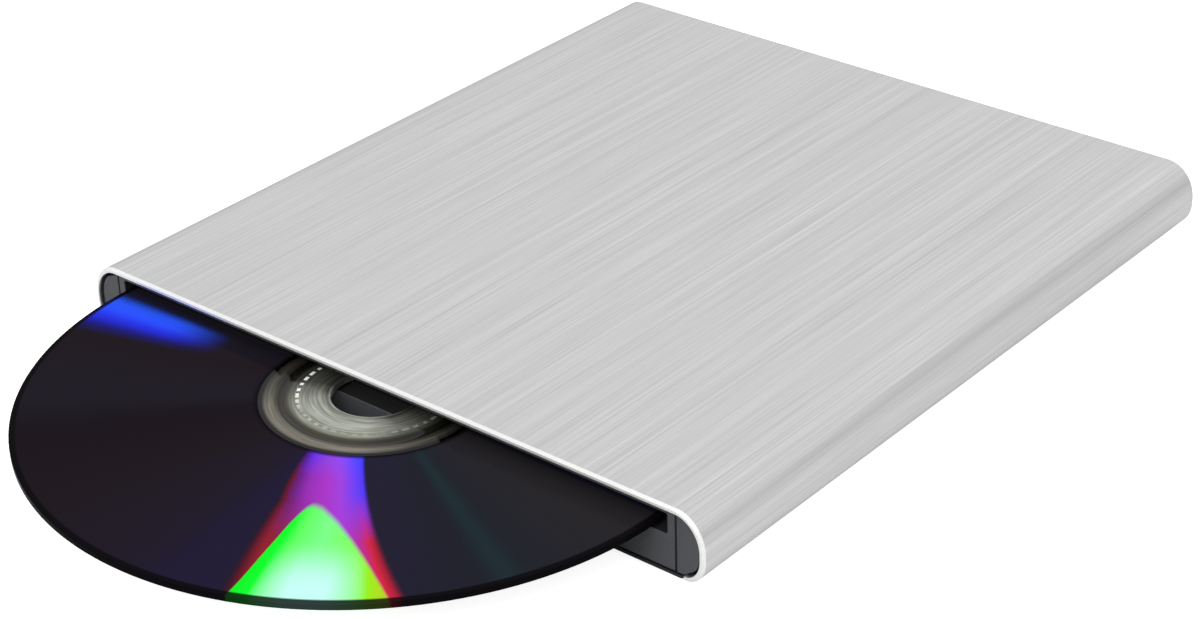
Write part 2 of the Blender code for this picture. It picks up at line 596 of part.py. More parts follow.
def build_pickup(tilt, body_finish, cover_finish, lens_finish, plastic):
    """The laser sled on the two rods, its actuator cover, lens and screw follower."""
    half_x, half_y = PICKUP_HALF
    y = SPINDLE_Y - PICKUP_REST
    low, high = PICKUP_Z
    body = block("pickup_body", body_finish, tilt, traverse_xyz(-half_x, y - half_y, low),
                 traverse_xyz(half_x, y + half_y, high))
    belly = block("pickup_belly", None, tilt, traverse_xyz(-0.0105, y - half_y + 0.001, 0.0036),
                  traverse_xyz(0.0105, y + half_y - 0.001, low + 0.0005))
    combine(body, belly, "UNION")
    for side in (-1, 1):
        waist = block(f"pickup_waist_{side}", None, tilt, traverse_xyz(side * 0.0132 - 0.0022, y - 0.0045, 0.0),
                      traverse_xyz(side * 0.0132 + 0.0022, y + 0.0045, 0.020))
        combine(body, waist)
        bore = drum(f"pickup_bore_{side}", None, tilt, traverse_xyz(side * ROD_OFFSET, y, ROD_Z),
                    ROD_RADIUS + RUNNING_GAP, 0.030, (math.pi / 2.0, 0.0, 0.0), 24)
        combine(body, bore)
    combine(body, drum("pickup_well", None, tilt, traverse_xyz(0.0, y, high), 0.0030, 0.0024, steps=32))
    cover_low = high + SEAT_GAP
    lines = [rounded((-0.0070, -0.0055), (0.0070, 0.0055), 0.0010), circle((0.0, 0.0), 0.0024, 32)]
    plate("lens_cover", cover_finish, tilt, lines, cover_low, cover_low + 0.0002,
          location=traverse_xyz(0.0, y, 0.0))
    lens = [(0.0, cover_low + 0.0003), (0.0010, cover_low + 0.0002), (0.0020, cover_low),
            (0.0020, cover_low - 0.0008), (0.0, cover_low - 0.0008)]
    turned("objective_lens", lens_finish, tilt, lens, traverse_xyz(0.0, y, 0.0), steps=32)
    lines = [rounded((0.0125, -0.0030), (0.0174, 0.0030), 0.0005)]
    follower = plate("screw_follower", plastic, tilt, lines, cover_low, cover_low + 0.0003,
                     location=traverse_xyz(0.0, y, 0.0))
    tab = block("follower_tab", None, tilt, traverse_xyz(0.0162, y - 0.0025, 0.0051),
                traverse_xyz(0.0174, y + 0.0025, cover_low + 0.0002))
    combine(follower, tab, "UNION")


def build_hinge_blocks(mech, rubber):
    """The two bushings on the chassis that carry the traverse's trunnions."""
    for side, name in ((-1, "hinge_block_left"), (1, "hinge_block_right")):
        x = side * (FRAME_HALF + 0.0016)
        piece = block(name, rubber, mech, (x - 0.0012, HINGE_Y - 0.0022, FLOOR_TOP + SEAT_GAP),
                      (x + 0.0012, HINGE_Y + 0.0022, HINGE_Z + 0.0020))
        bore = drum(name + "_bore", None, mech, (x, HINGE_Y, HINGE_Z), TRUNNION_RADIUS + RUNNING_GAP, 0.006,
                    (0.0, math.pi / 2.0, 0.0), 24)
        combine(piece, bore)


# ---- loader ---------------------------------------------------------------------------

def build_cam_slider(mech, plastic):
    """The sliding bar whose slanted slots lift the traverse's pins."""
    low, high = CAM_BAR_Z
    outline = rectangle((CAM_BAR_LEFT, low), (CAM_GEAR_X + 8.0 * math.pi * MODULE_RACK, high))
    rest_z = PIN_Z - PIN_DROP
    reach = (PIN_RADIUS + PIN_SLOT_GAP) * 1.02
    slots = []
    for side in (-1, 1):
        x = side * PIN_SPREAD
        slots.append([(x - 0.0014, rest_z - reach), (x + 0.0004, rest_z - reach),
                      (x + CAM_TRAVEL + 0.0014, PIN_Z - reach + 0.00015),
                      (x + CAM_TRAVEL + 0.0014, PIN_Z + reach),
                      (x + CAM_TRAVEL - 0.0004, PIN_Z + reach), (x - 0.0014, rest_z + reach - 0.00015)])
    upright = (math.pi / 2.0, 0.0, 0.0)
    bar = plate("cam_slider", plastic, mech, [outline], -CAM_BAR_Y - CAM_BAR_THICK, -CAM_BAR_Y, rotation=upright)
    for index, slot in enumerate(slots):
        cutter = plate(f"cam_slot_{index}", None, mech, [slot], -CAM_BAR_Y - 0.005, -CAM_BAR_Y + 0.002,
                       rotation=upright)
        combine(bar, cutter)
    pitch = math.pi * MODULE_RACK
    tip, root = RACK_PITCH_Y + 0.85 * MODULE_RACK, RACK_PITCH_Y - 1.1 * MODULE_RACK
    rack = [(CAM_GEAR_X - 3.0 * pitch, CAM_BAR_Y + 0.0005), (CAM_GEAR_X - 3.0 * pitch, root)]
    for index in range(-3, 8):
        middle = CAM_GEAR_X + (index + 0.5) * pitch
        rack += [(middle - 0.26 * pitch, root), (middle - 0.12 * pitch, tip),
                 (middle + 0.12 * pitch, tip), (middle + 0.26 * pitch, root)]
    rack += [(CAM_GEAR_X + 8.0 * pitch, root), (CAM_GEAR_X + 8.0 * pitch, CAM_BAR_Y + 0.0005)]
    teeth = plate("cam_rack", None, mech, [rack], low + 0.0001, low + 0.0016)
    combine(bar, teeth, "UNION")


def build_gears(mech, plastic, steel, motor_finish):
    """The loading motor, its pinion, the compound gear and its post."""
    mesh_angle = -math.pi / 2.0
    small_low, small_high = FLOOR_TOP + 0.0001, FLOOR_TOP + 0.0021
    wheel_low = CAM_BAR_Z[1] + 0.0002
    wheel_high = wheel_low + 0.0009
    train_turn = TRAIN_ANGLE + math.pi / 2.0
    centre = (CAM_GEAR_X, CAM_GEAR_Y, 0.0)
    bore = circle((0.0, 0.0), 0.0010 + RUNNING_GAP, 24)
    compound = plate("cam_gear", plastic, mech, [gear(TEETH_LARGE, MODULE_TRAIN, train_turn), bore],
                     wheel_low, wheel_high, location=centre)
    hub = plate("cam_gear_hub", None, mech, [circle((0.0, 0.0), 0.0024, 32), bore],
                small_high - 0.0002, wheel_low + 0.0002, location=centre)
    combine(compound, hub, "UNION")
    small = plate("cam_gear_small", None, mech, [gear(TEETH_CAM, MODULE_RACK, mesh_angle), bore],
                  small_low, small_high, location=centre)
    combine(compound, small, "UNION")
    post = [(0.0, wheel_high - 0.0001), (0.0010, wheel_high - 0.0001), (0.0010, FLOOR_TOP + SEAT_GAP),
            (0.0, FLOOR_TOP + SEAT_GAP)]
    turned("cam_gear_post", steel, mech, post, centre, steps=24)
    motor_centre = (MOTOR_X, MOTOR_Y, 0.0)
    can_high = wheel_low - 0.0004
    can = [(0.0046, can_high), (0.0050, can_high - 0.0004), (0.0050, FLOOR_TOP + SEAT_GAP),
           (0.0006, FLOOR_TOP + SEAT_GAP), (0.0006, can_high)]
    turned("loading_motor", motor_finish, mech, can, motor_centre, steps=ROUND_STEPS)
    gap_turn = train_turn + math.pi + math.pi / TEETH_MOTOR
    pinion = plate("motor_pinion", plastic, mech, [gear(TEETH_MOTOR, MODULE_TRAIN, gap_turn)],
                   wheel_low - 0.0001, wheel_high + 0.0001, location=motor_centre)
    shaft_low = FLOOR_TOP + 0.0004
    shaft = drum("motor_shaft", None, mech, (MOTOR_X, MOTOR_Y, (shaft_low + wheel_low) / 2.0),
                 0.0005, wheel_low - shaft_low, steps=24)
    combine(pinion, shaft, "UNION")


def build_arms(mech, sheet, roller_finish):
    """The two arms that ride on the disc's edge, each with its origin on its stud."""
    low, high = ARM_SHEET
    for side, name in ((-1, "left"), (1, "right")):
        turn = ARM_REST if side < 0 else math.pi - ARM_REST
        centre = (side * ARM_PIVOT[0], ARM_PIVOT[1], 0.0)
        body = [(0.0030 * math.cos(a), 0.0030 * math.sin(a))
                for a in (math.radians(60 + 15 * i) for i in range(17))]
        body += [(ARM_LENGTH + 0.0020 * math.cos(a), 0.0020 * math.sin(a))
                 for a in (math.radians(-90 + 15 * i) for i in range(13))]
        lines = [body, circle((0.0, 0.0), 0.0010 + RUNNING_GAP, 24)]
        plate("eject_arm_" + name, sheet, mech, lines, low, high, location=centre, rotation=(0.0, 0.0, turn))
        tip = (centre[0] + ARM_LENGTH * math.cos(turn), centre[1] + ARM_LENGTH * math.sin(turn), 0.0)
        roller = [(0.0, low - SEAT_GAP), (ROLLER_RADIUS, low - SEAT_GAP), (ROLLER_RADIUS, DISC_BOTTOM + 0.00005),
                  (0.0, DISC_BOTTOM + 0.00005)]
        turned("arm_roller_" + name, roller_finish, mech, roller, tip, steps=24)


def shade_smooth():
    for piece in PARTS.objects:
        if piece.type == "MESH":
            piece.data.shade_smooth()
            piece.data.set_sharp_from_angle(angle=math.radians(30.0))


def build():
    global PARTS, CUTTERS
    clear_scene()
    PARTS = make_collection("external_optical_drive")
    CUTTERS = make_collection("cutters")
    aluminium = finish("brushed_aluminium", (0.60, 0.60, 0.61), 0.34, 1.0)
    dark_plastic = finish("dark_grey_plastic", (0.070, 0.070, 0.075), 0.45)
    black_metal = finish("black_coated_steel", (0.020, 0.020, 0.022), 0.55, 0.2)
    rubber = finish("black_rubber", (0.012, 0.012, 0.013), 0.85)
    felt = finish("black_felt", (0.006, 0.006, 0.007), 0.95)
    zinc = finish("zinc_plated_sheet", (0.55, 0.56, 0.57), 0.38, 1.0)
    steel = finish("bright_steel", (0.68, 0.69, 0.70), 0.22, 1.0)
    black_plastic = finish("black_plastic", (0.015, 0.015, 0.016), 0.50)
    pale_plastic = finish("pale_acetal", (0.72, 0.71, 0.66), 0.42)
    green_board = finish("green_board", (0.020, 0.130, 0.060), 0.45)
    copper = finish("copper_winding", (0.62, 0.26, 0.10), 0.35, 1.0)
    glass = finish("lens_glass", (0.32, 0.36, 0.62), 0.05)
    recordable = finish("disc_mirror", (0.030, 0.022, 0.034), 0.08, 0.6)

    root = pivot("drive_frame", None, (0.0, FRONT_Y, FOOT_HEIGHT))
    mech = pivot("mechanism_centreline", root, (MECH_X, 0.0, 0.0))
    tilt = pivot("traverse_hinge", mech, (0.0, HINGE_Y, HINGE_Z), (-TILT, 0.0, 0.0))

    build_shell(root, aluminium)
    build_underside(root, black_metal, rubber, steel)
    build_front(root, dark_plastic, felt)
    build_rear(root, dark_plastic, steel, green_board, black_plastic)
    build_chassis(root, zinc, green_board, black_plastic, steel)
    build_disc(root, recordable)
    build_hinge_blocks(mech, rubber)
    build_traverse(tilt, zinc, steel, black_plastic)
    build_spindle(tilt, steel, black_plastic, rubber, copper)
    build_pickup(tilt, black_plastic, zinc, glass, pale_plastic)
    build_cam_slider(mech, pale_plastic)
    build_gears(mech, pale_plastic, steel, zinc)
    build_arms(mech, zinc, pale_plastic)
    shade_smooth()


build()
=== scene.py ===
"""Looks of an external slot-loading optical drive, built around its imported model.

The drive is an extruded aluminium sleeve with a dark moulded bezel, and a disc stands
half out of the slot. Lengths are metres, written as millimetres times MM. A name that
ends in _mm, or a comment that says so, marks plain millimetres.
"""

from __future__ import annotations

import json
import logging
import math
from dataclasses import dataclass
from enum import Enum
from typing import Any, Iterable, Sequence

import bmesh
import bpy
from mathutils import Matrix, Vector

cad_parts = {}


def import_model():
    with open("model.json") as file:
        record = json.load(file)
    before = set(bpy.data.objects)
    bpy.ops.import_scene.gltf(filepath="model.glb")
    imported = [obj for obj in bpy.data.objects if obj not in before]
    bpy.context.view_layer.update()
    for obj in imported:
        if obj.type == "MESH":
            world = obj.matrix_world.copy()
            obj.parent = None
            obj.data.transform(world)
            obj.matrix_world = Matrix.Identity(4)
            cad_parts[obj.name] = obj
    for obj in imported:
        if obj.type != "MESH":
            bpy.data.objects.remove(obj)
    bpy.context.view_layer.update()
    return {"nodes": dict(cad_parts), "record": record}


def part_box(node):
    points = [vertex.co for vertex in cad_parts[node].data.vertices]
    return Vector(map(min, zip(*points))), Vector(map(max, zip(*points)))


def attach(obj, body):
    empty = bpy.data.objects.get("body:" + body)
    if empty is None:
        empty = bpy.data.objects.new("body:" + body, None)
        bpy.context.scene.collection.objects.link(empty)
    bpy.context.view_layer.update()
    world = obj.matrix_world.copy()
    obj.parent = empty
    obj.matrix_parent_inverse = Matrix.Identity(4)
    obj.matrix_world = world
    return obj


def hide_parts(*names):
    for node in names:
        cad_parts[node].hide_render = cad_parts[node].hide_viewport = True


Material = bpy.types.Material
Node = bpy.types.Node
Piece = bpy.types.Object
Shape = bmesh.types.BMesh
Socket = bpy.types.NodeSocket
Tree = bpy.types.NodeTree
Vertex = bmesh.types.BMVert

Color = tuple[float, float, float, float]
Point = tuple[float, float]
Stops = tuple[tuple[float, str], ...]

LOG = logging.getLogger("optical_drive")
MM = 0.001
# Points nearer than this are one point.
MERGE_DISTANCE = 0.001 * MM

# Numbers of sockets that share a name: a Mix node's share, its two numbers, and its two
# colours with their result, then a Random Value node's limits and result.
MIX_SHARE, MIX_FIRST, MIX_SECOND = 0, 2, 3
COLOR_FIRST, COLOR_SECOND, COLOR_RESULT = 6, 7, 2
RANDOM_LOW, RANDOM_HIGH, RANDOM_RESULT = 2, 3, 1


class Handed(Enum):
    """The two sides of the drive, seen from the slot."""

    LEFT = -1
    RIGHT = 1


class Easing(Enum):
    """How a value runs between the two ends of a span."""

    STRAIGHT = "LINEAR"
    SMOOTH = "SMOOTHSTEP"


# ---- small tools ----------------------------------------------------------------------


def linear(hex_value: str) -> Color:
    """Turn an sRGB hex colour into linear RGBA by the standard's own curve.

    Args:
        hex_value: Six hex digits with a leading hash.

    Returns:
        The opaque linear colour.
    """
    parts = [int(hex_value[i:i + 2], 16) / 255.0 for i in (1, 3, 5)]
    red, green, blue = (c / 12.92 if c <= 0.04045 else ((c + 0.055) / 1.055) ** 2.4 for c in parts)
    return red, green, blue, 1.0


def set_inputs(tree: Tree, node: Node, inputs: dict[str | int, Any]) -> None:
    """Give a node's sockets their values and links.

    Args:
        tree: The node tree.
        node: The node.
        inputs: Socket name or number, with a value or another node's output socket.
    """
    for name, value in inputs.items():
        if isinstance(value, Socket):
            tree.links.new(value, node.inputs[name])
        else:
            node.inputs[name].default_value = value


def add_node(tree: Tree, kind: str, inputs: dict[str | int, Any] | None = None, **settings: Any) -> Node:
    """Add one node with its settings, values and links.

    Args:
        tree: The node tree.
        kind: The node's type name.
        inputs: Socket name or number, with a value or another node's output socket.
        **settings: Properties of the node itself.

    Returns:
        The new node.
    """
    node = tree.nodes.new(kind)
    for name, value in settings.items():
        setattr(node, name, value)
    set_inputs(tree, node, inputs or {})
    return node


def set_stops(ramp: Node, stops: Stops) -> Socket:
    """Give a Color Ramp its stops.

    Args:
        ramp: The Color Ramp node.
        stops: Place from 0 to 1 and hex colour, in order.

    Returns:
        The ramp's colour output.
    """
    elements = ramp.color_ramp.elements
    while len(elements) < len(stops):
        elements.new(0.5)
    for element, (place, color) in zip(elements, stops):
        element.position = place
        element.color = linear(color)
    return ramp.outputs["Color"]


def layered(tree: Tree, base: Socket, layers: Iterable[tuple[Socket, Socket | Color]]) -> Socket:
    """Lay colours over a first one, in order.

    Args:
        tree: The node tree.
        base: The lowest colour.
        layers: How much of each colour shows, from 0 to 1, and the colour.

    Returns:
        The colour of the whole stack.
    """
    for share, color in layers:
        stack = add_node(tree, "ShaderNodeMix", {MIX_SHARE: share, COLOR_FIRST: base, COLOR_SECOND: color},
                         data_type="RGBA")
        base = stack.outputs[COLOR_RESULT]
    return base


def new_material(name: str) -> tuple[Material, Tree, Node]:
    """Start a node material.

    Args:
        name: The finish's real name.

    Returns:
        The material, its tree and its Principled shader.
    """
    material = bpy.data.materials.new(name)
    material.use_nodes = True
    return material, material.node_tree, material.node_tree.nodes["Principled BSDF"]


def mesh_object(name: str, shape: Shape, finishes: Sequence[Material], sharp: float = 30.0) -> Piece:
    """Turn a bmesh into a linked object at the origin, smooth with sharp edges.

    Args:
        name: The piece's name.
        shape: The finished bmesh, which is freed.
        finishes: Its materials, in slot order.
        sharp: Edge angle in degrees above which shading breaks.

    Returns:
        The new object.
    """
    mesh = bpy.data.meshes.new(name)
    shape.to_mesh(mesh)
    shape.free()
    for finish in finishes:
        mesh.materials.append(finish)
    mesh.shade_smooth()
    mesh.set_sharp_from_angle(angle=math.radians(sharp))
    piece = bpy.data.objects.new(name, mesh)
    bpy.context.scene.collection.objects.link(piece)
    return piece


def baked(piece: Piece) -> Piece:
    """Replace a piece's mesh by its evaluated one, and drop its modifiers.

    Args:
        piece: An object with live modifiers.

    Returns:
        The same object with plain mesh data.
    """
    graph = bpy.context.evaluated_depsgraph_get()
    mesh = bpy.data.meshes.new_from_object(piece.evaluated_get(graph))
    piece.modifiers.clear()
    piece.data = mesh
    return piece


def turned_rings(shape: Shape, profile: Sequence[Point], centre: Vector, steps: int) -> list[list[Vertex]]:
    """Turn a section's points about an upright axis.

    Args:
        shape: The bmesh that gets the vertices.
        profile: Radius and height of each point. One on the axis gives a ring of one vertex.
        centre: A point on the axis, from which heights count.
        steps: Vertices in a full ring.

    Returns:
        One ring of vertices for each point.
    """
    rings = []
    for radius, height in profile:
        turns = [math.tau * k / steps for k in (range(steps) if radius else (0,))]
        rings.append([shape.verts.new((centre.x + radius * math.cos(turn), centre.y + radius * math.sin(turn),
                                       centre.z + height)) for turn in turns])
    return rings


def prism(name: str, outlines: Sequence[Sequence[Point]], front: float, back: float, bevel: float,
          finish: Material) -> Piece:
    """An outline in X and Z with any holes, drawn along Y, with small edge radii.

    Args:
        name: The piece's name.
        outlines: Closed outlines in metres, the first outside and the rest holes.
        front: Its front plane's Y.
        back: Its rear plane's Y.
        bevel: Edge radius.
        finish: Its material.

    Returns:
        The piece.
    """
    curve = bpy.data.curves.new(name, "CURVE")
    curve.dimensions = "2D"
    curve.fill_mode = "BOTH"
    curve.extrude = (back - front) / 2.0
    for outline in outlines:
        spline = curve.splines.new("POLY")
        spline.points.add(len(outline) - 1)
        for point, (x, z) in zip(spline.points, outline):
            point.co = (x, z, 0.0, 1.0)
        spline.use_cyclic_u = True
    drawn = bpy.data.objects.new(name + "_outline", curve)
    bpy.context.scene.collection.objects.link(drawn)
    graph = bpy.context.evaluated_depsgraph_get()
    mesh = bpy.data.meshes.new_from_object(drawn.evaluated_get(graph))
    bpy.data.objects.remove(drawn, do_unlink=True)
    shape = bmesh.new()
    shape.from_mesh(mesh)
    bmesh.ops.remove_doubles(shape, verts=shape.verts, dist=MERGE_DISTANCE)
    bmesh.ops.dissolve_limit(shape, angle_limit=math.radians(1.0), verts=shape.verts, edges=shape.edges)
    turn = Matrix.Translation((0.0, (front + back) / 2.0, 0.0)) @ Matrix.Rotation(math.pi / 2.0, 4, "X")
    bmesh.ops.transform(shape, matrix=turn, verts=shape.verts)
    bmesh.ops.recalc_face_normals(shape, faces=shape.faces)
    piece = mesh_object(name, shape, [finish])
    edge = piece.modifiers.new("Edges", "BEVEL")
    edge.width = bevel
    edge.segments = 2
    edge.limit_method = "ANGLE"
    edge.angle_limit = math.radians(50.0)
    edge.harden_normals = True
    return baked(piece)


def geometry_tree(name: str, inputs: dict[str, str]) -> tuple[Tree, bpy.types.NodeOutputs]:
    """Start a Geometry Nodes tree with named inputs.

    Args:
        name: The tree's name.
        inputs: Each input's name and its kind of socket, such as Float.

    Returns:
        The tree, and the sockets that its inputs come out of.
    """
    tree = bpy.data.node_groups.new(name, "GeometryNodeTree")
    for label, kind in inputs.items():
        tree.interface.new_socket(label, in_out="INPUT", socket_type=f"NodeSocket{kind}")
    tree.interface.new_socket("Geometry", in_out="OUTPUT", socket_type="NodeSocketGeometry")
    return tree, add_node(tree, "NodeGroupInput").outputs


def grown(piece: Piece, tree: Tree, spread: Node, finish: Material, values: dict[str, Any]) -> Piece:
    """End a tree in real, dressed geometry and turn a piece into what it makes.

    Args:
        piece: The object that the tree works on.
        tree: The Geometry Nodes tree.
        spread: Its node that sets the instances.
        finish: The material of the result.
        values: The tree's inputs by name.

    Returns:
        The same object with a plain mesh.
    """
    real = add_node(tree, "GeometryNodeRealizeInstances", {"Geometry": spread.outputs[0]})
    dressed = add_node(tree, "GeometryNodeSetMaterial", {"Geometry": real.outputs[0], "Material": finish})
    add_node(tree, "NodeGroupOutput", {"Geometry": dressed.outputs[0]})
    step = piece.modifiers.new("Repeat", "NODES")
    step.node_group = tree
    for item in tree.interface.items_tree:
        if item.in_out == "INPUT" and item.name in values:
            step[item.identifier] = values[item.name]
    return baked(piece)


# ---- finishes -------------------------------------------------------------------------


@dataclass(frozen=True)
class Span:
    """A stretch of one value that is carried to a stretch of another, clamped at both ends."""

    low: float
    high: float
    start: float = 0.0
    end: float = 1.0
    easing: Easing = Easing.STRAIGHT

    def inputs(self, value: Socket) -> dict[str, Any]:
        """The two stretches and the carried value, as a Map Range node takes them."""
        return {"Value": value, "From Min": self.low, "From Max": self.high,
                "To Min": self.start, "To Max": self.end}


@dataclass(frozen=True)
class BrushedAluminium:
    """Extruded aluminium, brushed along the sleeve and clear anodised.

    The brushing gives long fine streaks, a soft sheen across them and no mirror image.
    """

    name: str = "brushed_anodised_aluminium"
    stops: Stops = ((0.32, "#d3d3d4"), (0.68, "#efefef"))
    roughness: float = 0.36
    roughness_spread: float = 0.05
    anisotropy: float = 0.5
    # Width and length of the fine, medium and broad streaks. Real ones are finer still, and
    # these are drawn as coarse as they need to show.
    streaks_mm: tuple[Point, Point, Point] = ((0.24, 26.0), (0.60, 120.0), (3.2, 420.0))
    medium_share: float = 0.5
    broad_share: float = 0.2
    bump_strength: float = 0.12
    bump_mm: float = 0.02

    def build(self) -> Material:
        """Make the material.

        Returns:
            The material, which reads the piece's own sleeve map.
        """
        material, tree, shader = new_material(self.name)
        place = add_node(tree, "ShaderNodeUVMap", uv_map="sleeve")
        layers = []
        for width, length in self.streaks_mm:
            scaled = add_node(tree, "ShaderNodeMapping", {
                "Vector": place.outputs["UV"], "Scale": (1.0 / (width * MM), 1.0 / (length * MM), 1.0)})
            noise = add_node(tree, "ShaderNodeTexNoise", {
                "Vector": scaled.outputs["Vector"], "Scale": 1.0, "Detail": 1.0, "Roughness": 0.6})
            layers.append(noise.outputs[0])
        mixed = layers[0]
        for share, layer in zip((self.medium_share, self.broad_share), layers[1:]):
            mixed = add_node(tree, "ShaderNodeMix", {
                MIX_SHARE: share, MIX_FIRST: mixed, MIX_SECOND: layer}).outputs[0]
        rough = Span(0.3, 0.7, self.roughness + self.roughness_spread, self.roughness - self.roughness_spread)
        bump = {"Height": mixed, "Strength": self.bump_strength, "Distance": self.bump_mm * MM}
        tangent = add_node(tree, "ShaderNodeTangent", direction_type="UV_MAP", uv_map="sleeve")
        set_inputs(tree, shader, {
            "Base Color": set_stops(add_node(tree, "ShaderNodeValToRGB", {"Fac": mixed}), self.stops),
            "Roughness": add_node(tree, "ShaderNodeMapRange", rough.inputs(mixed)).outputs[0],
            "Normal": add_node(tree, "ShaderNodeBump", bump).outputs[0],
            "Metallic": 1.0, "Anisotropic": self.anisotropy, "Tangent": tangent.outputs[0]})
        return material


@dataclass(frozen=True)
class DiamondCutRim:
    """A chamfer turned bright with a diamond cutter: near white, with a soft mirror."""

    name: str = "diamond_cut_aluminium"
    stops: Stops = ((0.3, "#f2f2f0"), (0.7, "#fbfbfa"))
    metallic: float = 0.35
    roughness: float = 0.42
    # Cutter marks this far apart just break up the reflection.
    marks_mm: float = 0.3

    def build(self) -> Material:
        """Make the material.

        Returns:
            The material, which reads Object coordinates.
        """
        material, tree, shader = new_material(self.name)
        place = add_node(tree, "ShaderNodeTexCoord")
        noise = add_node(tree, "ShaderNodeTexNoise", {
            "Vector": place.outputs["Object"], "Scale": 1.0 / (self.marks_mm * MM), "Detail": 1.0})
        ramp = add_node(tree, "ShaderNodeValToRGB", {"Fac": noise.outputs[0]})
        set_inputs(tree, shader, {
            "Base Color": set_stops(ramp, self.stops), "Metallic": self.metallic,
            "Roughness": self.roughness})
        return material


@dataclass(frozen=True)
class Grained:
    """A moulded, coated or cut surface: one colour with a fine grain in tone and bump."""

    name: str
    dark: str
    light: str
    roughness: float = 0.5
    metallic: float = 0.0
    grain_mm: float = 0.35
    bump_mm: float = 0.01
    stretch: tuple[float, float, float] = (1.0, 1.0, 1.0)
    specular: float = 0.5
    roughness_spread: float = 0.05
    smoothest: float = 0.04
    bump_strength: float = 0.35

    def build(self) -> Material:
        """Make the material.

        Returns:
            The material, which reads Object coordinates.
        """
        material, tree, shader = new_material(self.name)
        place = add_node(tree, "ShaderNodeTexCoord")
        scaled = add_node(tree, "ShaderNodeMapping", {
            "Vector": place.outputs["Object"],
            "Scale": tuple(s / (self.grain_mm * MM) for s in self.stretch)})
        grain = add_node(tree, "ShaderNodeTexNoise", {
            "Vector": scaled.outputs["Vector"], "Scale": 1.0, "Detail": 3.0, "Roughness": 0.55}).outputs[0]
        ramp = add_node(tree, "ShaderNodeValToRGB", {"Fac": grain})
        rough = Span(0.3, 0.7, max(self.smoothest, self.roughness - self.roughness_spread),
                     min(1.0, self.roughness + self.roughness_spread))
        bump = {"Height": grain, "Strength": self.bump_strength, "Distance": self.bump_mm * MM}
        set_inputs(tree, shader, {
            "Base Color": set_stops(ramp, ((0.3, self.dark), (0.7, self.light))),
            "Roughness": add_node(tree, "ShaderNodeMapRange", rough.inputs(grain)).outputs[0],
            "Normal": add_node(tree, "ShaderNodeBump", bump).outputs[0],
            "Metallic": self.metallic, "Specular IOR Level": self.specular})
        return material


def read_polar(tree: Tree) -> tuple[Socket, Socket, Socket]:
    """Read a disc's map "polar", which holds the share of a turn and the radius.

    Args:
        tree: The material's node tree.

    Returns:
        The map itself, the share of a half turn, and the radius in metres.
    """
    polar = add_node(tree, "ShaderNodeUVMap", uv_map="polar").outputs["UV"]
    parts = add_node(tree, "ShaderNodeSeparateXYZ", {"Vector": polar})
    doubled = add_node(tree, "ShaderNodeMath", {0: parts.outputs["X"], 1: 2.0}, operation="MULTIPLY")
    share = add_node(tree, "ShaderNodeMath", {0: doubled.outputs[0]}, operation="FRACT")
    return polar, share.outputs[0], parts.outputs["Y"]


